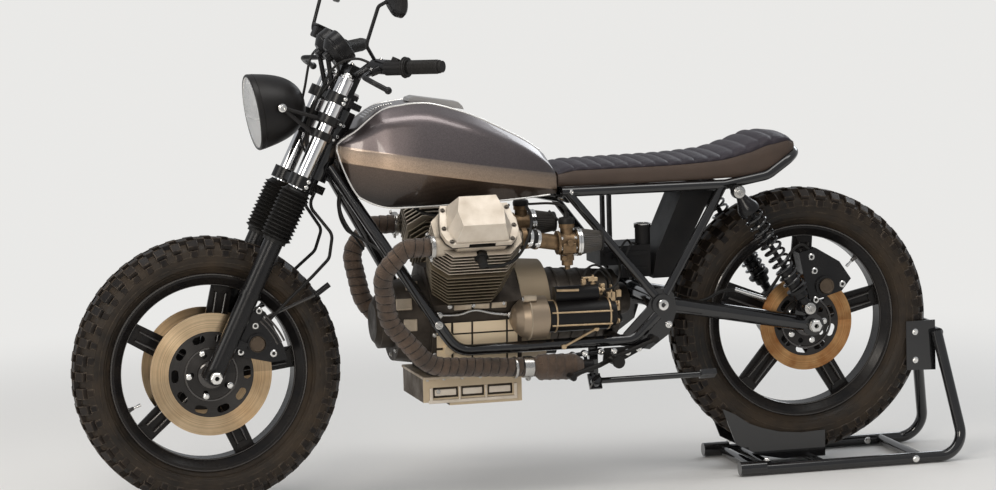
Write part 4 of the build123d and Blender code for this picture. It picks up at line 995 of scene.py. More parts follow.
# Half section of the seat, bottom middle to top middle
def seatHalf(x):
    _, low, high, wide = rowAt(seatRows, x)
    thick = high - low
    taper = seatLook["taper"]
    end = min(1.0, (seatFront - x) / taper + 0.25, (x - seatBack) / taper + 0.25)
    rise = seatLook["rollDepth"] * rollHeight(x) * min(1.0, end)
    seamZ = high - seatLook["topShare"] * thick
    points = [(0, low), (wide * 0.6, low), (wide - 10, low), (wide - 4, low + 0.04 * thick),
              (wide - 1, low + 0.16 * thick), (wide + 0.5, low + 0.32 * thick),
              (wide - 0.5, low + 0.5 * thick), (wide - 2.5, seamZ - 2.5), (wide - 4.5, seamZ - 0.6),
              (wide - 4.8, seamZ), (wide - 4.3, seamZ + 1)]
    for share in (0.08, 0.2, 0.32, 0.44, 0.56, 0.68, 0.78, 0.88, 1.0):
        turn = share * pi / 2
        y = wide - 4.5 - 30 * (1 - cos(turn))
        z = seamZ + (high - seamZ - seatLook["rollDepth"]) * sin(turn)
        bulge = rise * min(1.0, share * 3)
        points.append((y + bulge * cos(turn) * 0.9, z + bulge * sin(turn)))
    lastY, lastZ = points[-1]
    for share in (0.25, 0.5, 0.75, 1.0):
        points.append((lastY * (1 - share), lastZ + seatLook["crown"] * sin(share * pi / 2)))
    return points


def leather(name, base, stain):
    tree, shader, place = newMaterial(name)
    stained = useGroup(tree, mottle, Vector=place, Base=colour(base), Stain=colour(stain), Scale=9.0,
                       Amount=0.7)
    cells = addNode(tree, "ShaderNodeTexVoronoi", {"Vector": place, "Scale": 420.0},
                    feature="DISTANCE_TO_EDGE")
    creases = mapRange(tree, cells.outputs["Distance"], 0.0, 0.25)
    feed(tree, shader, {"Base Color": stained["Colour"], "Normal": bump(tree, creases, 0.0004, 0.7),
                        "Roughness": 0.44, "Specular IOR Level": 0.35})


mesh = bmesh.new()
sections = []
for number in range(seatLook["stations"] + 1):
    x = seatFront - (seatFront - seatBack) * number / seatLook["stations"]
    half = seatHalf(x)
    sections.append([metres((x, y, z)) for y, z in half + [(-y, z) for y, z in half[-2:0:-1]]])
addSkin(mesh, sections)
for face in mesh.faces:
    middle = face.calc_center_median() * 1000
    _, low, high, _ = rowAt(seatRows, min(seatFront, max(seatBack, middle.x)))
    face.material_index = 1 if middle.z < high - seatLook["topShare"] * (high - low) else 0
for name, (base, stain) in seatLook["hides"].items():
    leather(name, base, stain)
seat = newPiece("seatPad", mesh, "chassis", "seat_leather", "leatherTop", "leatherSide", smooth=50)
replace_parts(seat, "seat")
print("seat made")

# Exhausts: cloth wound round the pipes
exhaustLook = {
    "pipe": 0.0218,
    "ridge": 0.0024,
    "pitch": 0.021,
    "wide": 0.0305,
    "core": 0.019,
    "clamp": 0.0262,
    "bends": [0.034, 0.060, 0.090, 0.100, 0.150],
    "step": 0.004,
}
s45 = sin(radians(45))
portY, portZ = (326 + 30) * s45, 425 + (326 - 30) * s45


# Straight runs joined by arcs, as points a small step apart
def roundedPath(points, radii, step):
    knots = [Vector(point) for point in points]
    path = [knots[0]]
    for a, b, c, radius in zip(knots, knots[1:], knots[2:], radii):
        u, v = (a - b).normalized(), (c - b).normalized()
        half = acos(max(-1, min(1, u.dot(v)))) / 2
        cut = radius / tan(half)
        centre = b + (u + v).normalized() * (radius / sin(half))
        start, end = b + u * cut - centre, b + v * cut - centre
        arc = start.angle(end)
        count = max(3, int(arc * radius / step))
        for i in range(count + 1):
            t = i / count
            path.append(centre + (start * sin((1 - t) * arc) + end * sin(t * arc)) / sin(arc))
    path.append(knots[-1])
    fine = [path[0]]
    for a, b in zip(path, path[1:]):
        count = max(1, int((b - a).length / step))
        fine += [a.lerp(b, i / count) for i in range(1, count + 1)]
    return fine


# Radius of a wrapped pipe: each turn of cloth laps over the one before
def wound(base):
    def radius(distance, angle):
        turn = distance / exhaustLook["pitch"] + angle / (2 * pi)
        lap = turn - int(turn)
        wave = 0.0004 * sin(23 * angle + 310 * distance)
        return base + exhaustLook["ridge"] * (lap if lap < 0.93 else (1 - lap) / 0.07 * 0.93) + wave
    return radius


windTail = wound(exhaustLook["wide"])


# The wrap of the wide tail, drawn in at both ends
def tailRadius(distance, angle):
    ends = min(1.0, distance / 0.014, (0.124 - distance) / 0.022)
    return exhaustLook["core"] + (windTail(distance, angle) - exhaustLook["core"]) * max(0.0, ends)


# Dark cord on a pipe's surface along the edge of each lap: painted shade at each lap's step
def addLapShadeLine(mesh, path, base, perTurn=14):
    radius, pitch = base + 0.0010, exhaustLook["pitch"]
    side = (path[1] - path[0]).normalized().orthogonal().normalized()
    distance, edge = 0.0, []
    for a, b in zip(path, path[1:]):
        way = (b - a).normalized()
        side = (side - way * side.dot(way)).normalized()
        other = way.cross(side)
        count = max(1, round((b - a).length / pitch * perTurn))
        for i in range(count):
            share = i / count
            angle = -2 * pi * (distance + (b - a).length * share) / pitch
            edge.append(a.lerp(b, share) + (side * cos(angle) + other * sin(angle)) * radius)
        distance += (b - a).length
    addTube(mesh, edge, 0.0011, 5, 1)


def wrapCloth():
    tree, shader, place = newMaterial("wrap")
    stained = useGroup(tree, mottle, Vector=place, Base=colour((0.110, 0.069, 0.044)),
                       Stain=colour((0.026, 0.018, 0.013)), Scale=22.0, Amount=0.9)
    # Painted shade in the steps between the laps, where ambient occlusion finds them sheltered
    lapsShaded = useGroup(tree, grimeAndShade, Colour=stained["Colour"], Grime=colour((0.014, 0.010, 0.008)), Reach=0.007,
                    Amount=1.0)
    links = {"Vector": place, "Scale": 190.0, "Distortion": 1.2, "Detail": 2.0}
    weave = addNode(tree, "ShaderNodeTexWave", links, bands_direction="DIAGONAL").outputs["Fac"]
    feed(tree, shader, {"Base Color": toned(tree, lapsShaded["Colour"],
                                            mapRange(tree, weave, 0.0, 1.0, 0.72, 1.15)),
                        "Normal": bump(tree, weave, 0.0006), "Roughness": 0.8, "Sheen Weight": 0.25})


wrapCloth()
for side, portX, shift, way in (("left", 267, 0, 1), ("right", 237, -30, -1)):
    rows = [(portX + 5, portY, portZ), (336 + shift, portY, portZ), (392 + shift, 236, 572),
            (372 + shift, 208, 452), (268 + shift, 190, 334), (60, 176, 318), (-12, 170, 314)]
    mesh = bmesh.new()
    pipe = roundedPath([onSide(way, *row) for row in rows], exhaustLook["bends"], exhaustLook["step"])
    addTube(mesh, pipe, wound(exhaustLook["pipe"]), 40)
    # Dark cords along the lap edges paint the shade at each step
    addLapShadeLine(mesh, pipe, exhaustLook["pipe"])
    start = Vector((0.002, way * 0.170, 0.3130))
    along = Vector((-1, 0, -0.04)).normalized()
    tail = [start + along * (0.003 * i) for i in range(42)]
    addTube(mesh, tail, tailRadius, 44)
    addLapShadeLine(mesh, tail[6:-8], exhaustLook["wide"])
    piece = newPiece(f"exhaustWrap{side.title()}", mesh, "chassis", "pipe_wrap", "wrap", "rubber", smooth=60)
    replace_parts(piece, f"exhaust_{side}")

    mesh = bmesh.new()
    ring = exhaustLook["clamp"]
    for at, wide in ((0.020, 0.024), (0.052, 0.006)):
        centre = Vector((at, way * (0.1725 + at * 0.06), 0.3155 + at * 0.02))
        addLathe(mesh, [(ring - 0.004, -wide / 2), (ring, -wide / 2), (ring + 0.0008, 0), (ring, wide / 2),
                        (ring - 0.004, wide / 2)], centre, (1, way * 0.08, 0.03), 48)
    addBolt(mesh, (0.020, way * 0.182, 0.2885), (0, way * 0.5, -1), 0.005, "hex")
    addLathe(mesh, [(0.0165, 0), (0.0165, 0.030), (0.0150, 0.030), (0.0150, 0.004), (0, 0.004)],
             start + along * 0.120, along, 40, 1)
    flange = onSide(way, portX, portY, portZ)
    addLathe(mesh, [(0.0225, -0.001), (0.030, -0.001), (0.031, 0.003), (0.030, 0.009), (0.0225, 0.010)],
             flange, (1, 0, 0), 40)
    for angle in (0.6, 2.2, 3.74, 5.3):
        spot = flange + Vector((0.008, 0.034 * cos(angle), 0.034 * sin(angle)))
        addBolt(mesh, spot, (1, 0, 0), 0.0048, "hex")
    newPiece(f"exhaustMetal{side.title()}", mesh, "chassis", "steel", "steel", "blackPlastic")
print("exhausts made")

# Shock absorbers with helical springs
shockLook = {
    "foot": (-718, 150, 413),
    "top": (-538, 150, 714),
    "turns": 12,
    "coil": 0.0235,
    "wire": 0.0036,
    "damper": [(0, 0.016), (0.011, 0.016), (0.012, 0.030), (0.018, 0.036), (0.018, 0.118), (0.016, 0.122),
               (0, 0.122)],
    "seat": [(0, 0.052), (0.026, 0.052), (0.028, 0.056), (0.028, 0.061), (0, 0.063)],
    "eye": [(0.0095, -0.0108), (0.016, -0.0108), (0.017, -0.008), (0.017, 0.008), (0.016, 0.0108),
            (0.0095, 0.0108)],
    "washer": [(0, 0), (0.0145, 0), (0.0145, 0.0022), (0.013, 0.003), (0, 0.003)],
    "spacer": [(0, -0.003), (0.009, -0.003), (0.009, 0.021), (0, 0.021)],
}
blackMesh, springMesh, brightMesh = bmesh.new(), bmesh.new(), bmesh.new()
for way in (1, -1):
    foot, top = (onSide(way, *shockLook[end]) for end in ("foot", "top"))
    length = (top - foot).length
    along = (top - foot).normalized()
    cup = [(0, length - 0.060), (0.027, length - 0.060), (0.028, length - 0.054), (0.026, length - 0.044),
           (0.018, length - 0.030), (0.012, length - 0.014), (0, length - 0.014)]
    rod = [(0, 0.118), (0.0065, 0.118), (0.0065, length - 0.05), (0, length - 0.05)]
    for profile, sides in ((shockLook["damper"], 32), (shockLook["seat"], 40), (cup, 40), (rod, 24)):
        addLathe(blackMesh, profile, foot, along, sides)
    low, high = 0.064, length - 0.062
    side = along.orthogonal().normalized()
    other = along.cross(side)
    coil = []
    count = shockLook["turns"] * 20
    for i in range(count + 1):
        angle = 2 * pi * shockLook["turns"] * i / count
        height = low + (high - low) * i / count
        coil.append(foot + along * height + (side * cos(angle) + other * sin(angle)) * shockLook["coil"])
    addTube(springMesh, coil, shockLook["wire"], 8)
    for end in (foot, top):
        addLathe(blackMesh, shockLook["eye"], end, (0, 1, 0), 36)
        out = end + Vector((0, way * 0.0112, 0))
        addLathe(brightMesh, shockLook["washer"], out, (0, way, 0), 32)
        addBolt(brightMesh, out + Vector((0, way * 0.0025, 0)), (0, way, 0), 0.0075)
        addLathe(brightMesh, shockLook["spacer"], end - Vector((0, way * 0.020, 0)), (0, way, 0), 24)
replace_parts(newPiece("shockSprings", springMesh, "chassis", "frame_paint", "framePaint"), "rear_shocks")
newPiece("shockBodies", blackMesh, "chassis", "frame_paint", "forkPaint")
newPiece("shockBolts", brightMesh, "chassis", "steel", "steel")
print("shocks made")

# Headlamp: bowl on its brackets, rim, reflector and fluted lens
lampLook = {
    "tilt": -7.6,
    "rim": 0.093,
    "flutes": 700.0,
    "bowl": [(0, -0.120), (0.022, -0.1185), (0.045, -0.108), (0.064, -0.089), (0.077, -0.065),
             (0.0855, -0.038), (0.0905, -0.014), (0.0925, -0.004)],
    "mouth": [(0.0915, -0.0030), (0.0915, -0.0015), (0.093, -0.0005), (0.093, 0.0045), (0.0865, 0.0045),
              (0.0865, 0), (0, 0)],
    "trim": [(0.0846, 0.0060), (0.0850, 0.0096), (0.0866, 0.0108), (0.0880, 0.0100), (0.0866, 0.0060)],
    "reflector": [(0, 0.0012), (0.030, 0.0016), (0.060, 0.0034), (0.084, 0.0075), (0.0845, 0.0005),
                  (0, 0.0004)],
    "bulb": [(0, 0.0010), (0.013, 0.0012), (0.0125, 0.0055), (0.010, 0.0080), (0, 0.0090)],
    "lens": [(0.0, 0.0200), (0.015, 0.0197), (0.030, 0.0188), (0.045, 0.0173), (0.060, 0.0152),
             (0.072, 0.0128), (0.080, 0.0104), (0.0852, 0.0080)],
    "eye": (116.4, 659.3),
}
lampTilt = radians(lampLook["tilt"])
lampWay = Vector((cos(lampTilt), 0, sin(lampTilt)))
lampAt = onFork(150, 0, 625.8)
eyeF, eyeS = lampLook["eye"]


def addLampRing(mesh, profile, sides=96, material=0):
    addLathe(mesh, profile, lampAt, lampWay, sides, material)


# Clear glass with upright flutes, frosted below its middle
def lampGlass():
    tree, shader, place = newMaterial("lampGlass")
    at = parts(tree, vectorMaths(tree, "SUBTRACT", place, tuple(lampAt)))
    flutes = maths(tree, "SINE", product(tree, at["Y"], lampLook["flutes"]))
    feed(tree, shader, {"Normal": bump(tree, flutes, 0.0006, 0.8),
                        "Roughness": mapRange(tree, at["Z"], -0.02, 0.01, 0.32, 0.08),
                        "Transmission Weight": 0.55, "IOR": 1.45, "Base Color": colour((0.95, 0.96, 0.97))})


mesh = bmesh.new()
outside = [(max(0, radius), height) for radius, height in smoothPath(lampLook["bowl"], 5)]
addLampRing(mesh, outside + lampLook["mouth"])
for way in (1, -1):
    leg = way * fork["half"]
    for s in (634.3, 673.3):
        addLathe(mesh, [(0.0193, -0.006), (0.025, -0.006), (0.025, 0.006), (0.0193, 0.006)],
                 onFork(0, leg, s), forkUp, 40)
        addRod(mesh, onFork(22, leg, s), onFork(eyeF, leg, eyeS), 0.0050, 16)
    addRod(mesh, onFork(eyeF, way * 76, eyeS), onFork(eyeF, way * 99, eyeS), 0.009, 28)
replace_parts(newPiece("lampBowl", mesh, "steering", "fork_paint", "lampBlack", smooth=40), "headlamp_bowl")

mesh = bmesh.new()
outer = lampLook["rim"] + 0.0006
addLampRing(mesh, [(0.0850, 0.0045), (0.0862, 0.0092), (0.0885, 0.0112), (0.0915, 0.0112), (outer, 0.0085),
                   (outer, 0.0045), (0.0855, 0.0040)])
addLampRing(mesh, lampLook["trim"], material=1)
newPiece("lampRim", mesh, "steering", "fork_paint", "lampBlack", "bright")

mesh = bmesh.new()
addLampRing(mesh, lampLook["reflector"])
addLampRing(mesh, lampLook["bulb"], 32)
newPiece("lampReflector", mesh, "steering", "chrome", "reflector")

mesh = bmesh.new()
addLampRing(mesh, lampLook["lens"])
addLampRing(mesh, [(radius * 0.985, height - 0.0022) for radius, height in lampLook["lens"]])
lampGlass()
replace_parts(newPiece("lampLens", mesh, "steering", "lamp_glass", "lampGlass"), "headlamp_glass")
print("headlamp made")

# Steering head: clamps, bolts and caps on the fork
clampMesh, boltMesh = bmesh.new(), bmesh.new()
for way in (1, -1):
    leg = way * fork["half"]
    for s, high in ((639, 18), (680, 19)):
        half = high / 2000
        addLathe(clampMesh, [(0.0185, -half), (0.0265, -half), (0.0275, -half + 0.001),
                             (0.0275, half - 0.001), (0.0265, half), (0.0185, half)],
                 onFork(0, leg, s), forkUp, 40)
        addBox(clampMesh, (0.014, 0.018, high / 1000), aimed(onFork(-28, leg, s), forkUp, (0, 1, 0)))
        addBolt(boltMesh, onFork(-30, leg + way * 7, s), (0, way, 0), 0.0035)
    addBolt(boltMesh, onFork(eyeF, way * 99.2, eyeS), (0, way, 0), 0.0070)
    for s in (508, 522, 729, 741):
        addBolt(boltMesh, onFork(-12, way * 122, s), (0, way, 0), 0.0034)
    addLathe(boltMesh, [(0, 0.002), (0.0165, 0.002), (0.0165, 0.006), (0.0150, 0.008), (0.0110, 0.008),
                        (0.0110, 0.013), (0.0095, 0.015), (0, 0.015)], onFork(0, leg, 786), forkUp, 36)
    for f in (-38, -10):
        addBolt(boltMesh, onFork(f, way * 48, 826), forkUp, 0.0042)
    addBolt(boltMesh, onFork(-18, way * 262, 858), forkUp, 0.0040)
    addBolt(boltMesh, onFork(-4, way * 277, 826), forkUp, 0.0050, "hex")
addLathe(boltMesh, [(0, 0), (0.019, 0), (0.019, 0.004), (0.017, 0.007), (0, 0.007)], onFork(-50, 0, 759),
         forkUp, 6)
newPiece("forkClamps", clampMesh, "steering", "fork_paint", "forkPaint")
newPiece("forkBolts", boltMesh, "steering", "chrome", "bright")

# Gauges: bezel, dial with ticks and hand
gaugeLook = {
    "way": (-0.82, 0, 0.573),
    "ticks": 21,
    "from": -130,
    "to": 130,
    "hand": 105,
    "bezel": [(0.0372, 0.0175), (0.0375, 0.0215), (0.0400, 0.0225), (0.0424, 0.0205), (0.0426, 0.0140),
              (0.0418, 0.0135)],
}


# Bar on a dial at an angle, its middle a distance out from the hub
def addDialMark(mesh, dial, degrees, out, height, size):
    at = dial @ Matrix.Rotation(radians(degrees), 4, "Z") @ Matrix.Translation((0, out, height))
    addBox(mesh, size, at, 0)


hubMesh, bezelMesh, faceMesh, markMesh = bmesh.new(), bmesh.new(), bmesh.new(), bmesh.new()
for way in (1, -1):
    middle = onFork(38.4, way * 47, 845.7)
    dial = aimed(middle, gaugeLook["way"])
    addLathe(bezelMesh, gaugeLook["bezel"], middle, gaugeLook["way"], 64)
    for low in (-0.010, -0.004, 0.002):
        addLathe(bezelMesh, [(0.0405, low), (0.0423, low + 0.001), (0.0423, low + 0.003),
                             (0.0405, low + 0.004)],
                 middle, gaugeLook["way"], 64)
    addLathe(faceMesh, [(0, 0.0180), (0.0370, 0.0180), (0.0370, 0.0174), (0, 0.0174)], middle,
             gaugeLook["way"], 48)
    step = (gaugeLook["to"] - gaugeLook["from"]) / (gaugeLook["ticks"] - 1)
    for number in range(gaugeLook["ticks"]):
        long = 0.003 if number % 5 else 0.006
        addDialMark(markMesh, dial, gaugeLook["from"] + step * number, 0.033 - long / 2, 0.0183,
                    (0.0009, long, 0.0003))
    addDialMark(markMesh, dial, gaugeLook["hand"] * way, 0.010, 0.0192, (0.0012, 0.026, 0.0004))
    addLathe(hubMesh, [(0, 0.0180), (0.004, 0.0180), (0.004, 0.0205), (0, 0.0210)], middle,
             gaugeLook["way"], 20)
newPiece("gaugeBezels", bezelMesh, "steering", "fork_paint", "forkPaint")
newPiece("gaugeFaces", faceMesh, "steering", "black_plastic", "blackPlastic")
newPiece("gaugeHubs", hubMesh, "steering", "chrome", "bright")
newPiece("gaugeMarks", markMesh, "steering", "black_plastic", "paleMark")

# Mirror glass, grip ribs, and the clamps and boxes on the bar
barLook = {
    "gripStart": (-41, 315, 852),
    "gripEnd": (-119.5, 405, 896.5),
    "ribFirst": 0.046,
    "ribPitch": 0.0040,
    "mirror": [(0, 0.0006), (0.0420, 0.0006), (0.0428, 0.0002), (0.0428, -0.0006), (0, -0.0006)],
}
mirrored = {1: Vector((1, 1, 1)), -1: Vector((1, -1, 1))}
glassMesh, ribMesh, blackMesh = bmesh.new(), bmesh.new(), bmesh.new()
for way in (1, -1):
    face = onFork(19.9, 335, 1005.8) * mirrored[way]
    addLathe(glassMesh, barLook["mirror"], face, (-0.93, way * -0.2, 0.12), 64)
    start, end = (onFork(*barLook[key]) * mirrored[way] for key in ("gripStart", "gripEnd"))
    along = (end - start).normalized()
    reach = (end - start).length
    rows = [(0.0155, 0.044)]
    base = barLook["ribFirst"]
    while base < reach - 0.006:
        rows += [(0.0161, base), (0.0171, base + 0.0010), (0.0171, base + 0.0026), (0.0161, base + 0.0036)]
        base += barLook["ribPitch"]
    addLathe(ribMesh, rows + [(0.0155, reach - 0.003)], start, along, 40)
    for base, wide in ((0.0300, 0.0250), (0.0385, 0.0215)):
        addLathe(ribMesh, [(0.0160, base), (wide, base), (wide + 0.0008, base + 0.0015),
                           (wide, base + 0.0032), (0.0160, base + 0.0036)], start, along, 40)
    addRod(blackMesh, start + along * -0.020, start + along * 0.026, 0.0185, 28)
    addBox(blackMesh, (0.030, 0.020, 0.012), aimed(start + along * 0.004 + forkUp * 0.016, forkUp, along))
    perch = onFork(-18, 236, 842) * mirrored[way]
    addBox(blackMesh, (0.022, 0.016, 0.026), aimed(perch, forkUp, (0, 1, 0)), 0.0015)
reservoir = aimed(onFork(18, -250, 872), forkUp, (0, 1, 0))
addBox(blackMesh, (0.056, 0.042, 0.030), reservoir, 0.003)
addBox(blackMesh, (0.060, 0.046, 0.005), reservoir @ Matrix.Translation((0, 0, 0.017)), 0.0012)
addRod(blackMesh, onFork(-6, -250, 842), onFork(14, -250, 862), 0.011, 20)
newPiece("mirrorGlass", glassMesh, "steering", "chrome", "bright")
newPiece("gripRibs", ribMesh, "steering", "rubber", "rubber")
newPiece("barControls", blackMesh, "steering", "black_plastic", "blackPlastic")

# Cables: from the bar controls to the steering head, in fork coordinates, and on to the engine
steeringCables = [
    [(-18, 222, 842), (20, 180, 838), (48, 130, 800), (44, 88, 730), (34, 66, 660), (8, 52, 600),
     (-30, 42, 574)],
    [(-18, -222, 842), (24, -170, 846), (56, -110, 806), (48, -72, 730), (34, -56, 660), (6, -46, 604),
     (-30, -40, 574)],
    [(30, 47, 822), (14, 52, 790), (26, 50, 752), (36, 48, 700), (30, 46, 640), (4, 40, 590), (-26, 36, 580)],
]
chassisCables = [
    [(420, 26, 800), (440, 36, 760), (446, 42, 711), (427, 60, 663), (403, 96, 642), (372, 122, 618),
     (352, 128, 580)],
    [(404, -20, 790), (432, -30, 740), (430, -40, 690), (408, -70, 650), (380, -110, 628), (352, -128, 590)],
    [(300, 30, 740), (250, 60, 700), (200, 100, 690), (120, 110, 700), (30, 80, 705)],
]
mesh = bmesh.new()
for rows in steeringCables:
    addTube(mesh, smoothPath([onFork(*row) for row in rows], 7), 0.0032, 10)
newPiece("steeringCables", mesh, "steering", "rubber", "rubber")
mesh, headMesh = bmesh.new(), bmesh.new()
for rows in chassisCables:
    addCord(mesh, rows, 0.0034)
boot = [(0, 0)]
for number in range(9):
    low = 0.0042 * number
    boot += [(0.0095, low), (0.0130, low + 0.0010), (0.0130, low + 0.0028)]
addLathe(mesh, boot + [(0.0095, 0.040), (0, 0.040)], (0.436, 0.030, 0.858), (-0.45, 0, -0.89), 28)
addBolts(headMesh, [(444, 25, 889), (428, 25, 915), (448, 25, 935)], (0, 1, 0), 0.0038)
newPiece("chassisCables", mesh, "chassis", "rubber", "rubber")
newPiece("headBolts", headMesh, "chassis", "chrome", "bright")
print("steering details made")

# Brakes: caliper bolts, pistons, bars and hoses
brakeLook = {
    "puck": [(0, 0.0002), (0.0150, 0.0002), (0.0158, 0.0012), (0.0172, 0.0012), (0.0180, 0), (0.0200, 0)],
    "frontBolts": ((666, 483), (676, 447), (714, 386), (633, 377)),
    "rearBolts": ((-744, 534), (-752, 498), (-825, 461), (-754, 425)),
    "rearHoses": (
        [(-744, 92, 548), (-720, 98, 566), (-690, 102, 548), (-655, 100, 486), (-618, 99, 440)],
        [(-545, 99, 464), (-505, 100, 462), (-470, 104, 446), (-440, 108, 440)],
    ),
}


def addCaliperBolt(mesh, place, way, wide):
    addLathe(mesh, [(0.0028, 0), (wide, 0), (wide, 0.0020), (wide - 0.0016, 0.0034), (0.0044, 0.0034),
                    (0.0036, 0.0012), (0.0028, 0)], place, (0, way, 0), 28)


def addAxleNut(mesh, wheel, y, flat, wide, high):
    x, _, z = axles[wheel]
    addLathe(mesh, [(0.0063, 0), (flat, 0), (wide, 0.0014), (wide, high - 0.0014), (flat, high),
                    (0.0063, high)],
             (x, y, z), (0, y, 0), 6)


boltMesh, puckMesh, ribMesh = bmesh.new(), bmesh.new(), bmesh.new()
axleX, _, axleZ = axles["front"]
for way in (1, -1):
    for x, z in brakeLook["frontBolts"]:
        addCaliperBolt(boltMesh, onSide(way, x, 90.2, z), way, 0.0088)
    addLathe(puckMesh, brakeLook["puck"], onSide(way, 673, 100, 403), (0, way, 0), 40)
    for reach in (0.174, 0.184, 0.1925):
        turns = [radians(degrees) for degrees in range(133, 158, 3)]
        arc = [(axleX + reach * cos(angle), way * 0.0905, axleZ + reach * sin(angle)) for angle in turns]
        addTube(ribMesh, arc, 0.0026, 10)
    addRod(ribMesh, onFork(-64, way * 75, 180), onFork(-152, way * 75, 277), 0.0044, 16)
    nipple = onFork(-60, way * 84, 172)
    addRod(boltMesh, nipple, nipple + Vector((0.001, way * 0.010, 0.012)), 0.0035, 12)
for y in (0.1318, -0.1318):
    addAxleNut(boltMesh, "front", y, 0.0135, 0.0150, 0.0076)
newPiece("frontBrakeBolts", boltMesh, "steering", "steel", "bright")
newPiece("frontBrakePucks", puckMesh, "steering", "fork_paint", "puckMetal")
newPiece("frontBrakeRibs", ribMesh, "steering", "fork_paint", "lipPaint")

boltMesh, puckMesh, hoseMesh = bmesh.new(), bmesh.new(), bmesh.new()
for x, z in brakeLook["rearBolts"]:
    addCaliperBolt(boltMesh, metres((x, 100.2, z)), 1, 0.0086)
addLathe(puckMesh, brakeLook["puck"], metres((-780, 110, 459)), (0, 1, 0), 40)
addAxleNut(boltMesh, "rear", 0.1438, 0.0140, 0.0158, 0.0094)
for rows in brakeLook["rearHoses"]:
    addCord(hoseMesh, rows, 0.0042, 12)
addTube(boltMesh, [metres(row) for row in ((-622, 99, 436), (-582, 99, 450), (-541, 99, 465))], 0.0048, 14)
newPiece("rearBrakeBolts", boltMesh, "chassis", "steel", "bright")
newPiece("rearBrakePuck", puckMesh, "chassis", "fork_paint", "puckMetal")
newPiece("rearBrakeHose", hoseMesh, "chassis", "rubber", "rubber")

# Wheels: ridges on the spokes, hub bolts and collars, rim lips and valves
wheelLook = {
    "spokes": 5,
    "bolts": 5,
    "ridge": 0.0024,
    "nearHub": (0.046, 0.0092, 0.0199),
    "nearRim": (0.196, 0.0120, 0.0143),
    "collar": 0.064,
    "cap": [(0.0335, -0.0006), (0.0335, 0.0060), (0.0300, 0.0080), (0.0250, 0.0084), (0.0175, 0.0084)],
    "lip": [(0.2385, -0.0004), (0.2400, 0.0016), (0.2424, 0.0020), (0.2442, 0.0008), (0.2446, -0.0020)],
    "bead": [(0.2140, 0.0010), (0.2146, 0.0026), (0.2160, 0.0026), (0.2166, 0.0010)],
    "valveFoot": [(0, 0), (0.0075, 0), (0.0050, 0.006), (0.0045, 0.014), (0, 0.014)],
    "valve": [(0, 0.013), (0.0030, 0.013), (0.0030, 0.024), (0.0040, 0.024), (0.0040, 0.033), (0, 0.034)],
}
wheels = {
    "front": {"faces": (0.0618, -0.0618), "valveTurn": -23, "spokeTurn": 30, "boltTurn": -3,
              "boltRing": 0.055},
    "rear": {"faces": (0.0718,), "valveTurn": 136, "spokeTurn": 23, "boltTurn": 36, "boltRing": 0.048},
}


# Directions out from an axle and round it at an angle in degrees
def wheelWays(degrees):
    angle = radians(degrees)
    return Vector((cos(angle), 0, sin(angle))), Vector((-sin(angle), 0, cos(angle)))


for side, wheel in wheels.items():
    axleX, _, axleZ = axles[side]
    boltMesh, collarMesh = bmesh.new(), bmesh.new()
    for number in range(wheelLook["spokes"]):
        out, over = wheelWays(wheel["spokeTurn"] + 72 * number)
        for way in (1, -1):
            for edge in (1, -1):
                ends = [Vector((axleX, way * y, axleZ)) + out * r + over * edge * aside
                        for r, aside, y in (wheelLook["nearHub"], wheelLook["nearRim"])]
                addRod(collarMesh, ends[0], ends[1], wheelLook["ridge"], 10)
    for y in wheel["faces"]:
        way = 1 if y > 0 else -1
        for number in range(wheelLook["bolts"]):
            out, _ = wheelWays(wheel["boltTurn"] + 360 / wheelLook["bolts"] * number)
            addBolt(boltMesh, Vector((axleX, y, axleZ)) + out * wheel["boltRing"], (0, way, 0), 0.0052, "hex")
        r = wheelLook["collar"]
        addLathe(collarMesh, [(r - 0.003, -0.0004), (r - 0.002, 0.0020), (r + 0.002, 0.0020),
                              (r + 0.003, -0.0004)],
                 (axleX, y, axleZ), (0, way, 0), 72)
        addLathe(collarMesh, wheelLook["cap"], (axleX, y + way * 0.0012, axleZ), (0, way, 0), 48)
    for way in (1, -1):
        addLathe(collarMesh, wheelLook["lip"], (axleX, way * 0.036, axleZ), (0, way, 0), 128)
        addLathe(collarMesh, wheelLook["bead"], (axleX, way * 0.0245, axleZ), (0, way, 0), 128)
    out, _ = wheelWays(wheel["valveTurn"])
    foot = Vector((axleX, 0.012, axleZ)) + out * 0.2145
    addLathe(collarMesh, wheelLook["valveFoot"], foot, -out, 16)
    addLathe(boltMesh, wheelLook["valve"], foot, -out, 14)
    body = f"{side}_wheel"
    newPiece(f"{body}Bolts", boltMesh, body, "steel", "bright")
    newPiece(f"{body}Collars", collarMesh, body, "wheel_paint", "lipPaint")
print("brake and wheel details made")

# Engine: seals and bolts of the covers, plug caps and leads. Places on a cylinder's bank are in millimetres:
# x from the cylinder's middle, b across the bank, and the height along the cylinder
banks = {"left": (155, 1), "right": (125, -1)}
coverOutline = [(84, -62), (92, -20), (96, 17), (88, 42), (73, 58)]
leadRows = [(0, 290, 592), (-12, 292, 586), (-40, 288, 584), (-74, 276, 590), (-98, 268, 606),
            (-118, 266, 636), (-135, 244, 668), (-150, 190, 690), (-158, 120, 704)]


def onBank(side, x, b, height):
    middle, way = banks[side]
    return Vector(metres((middle + x, way * (height + b) * s45, 425 + (height - b) * s45)))


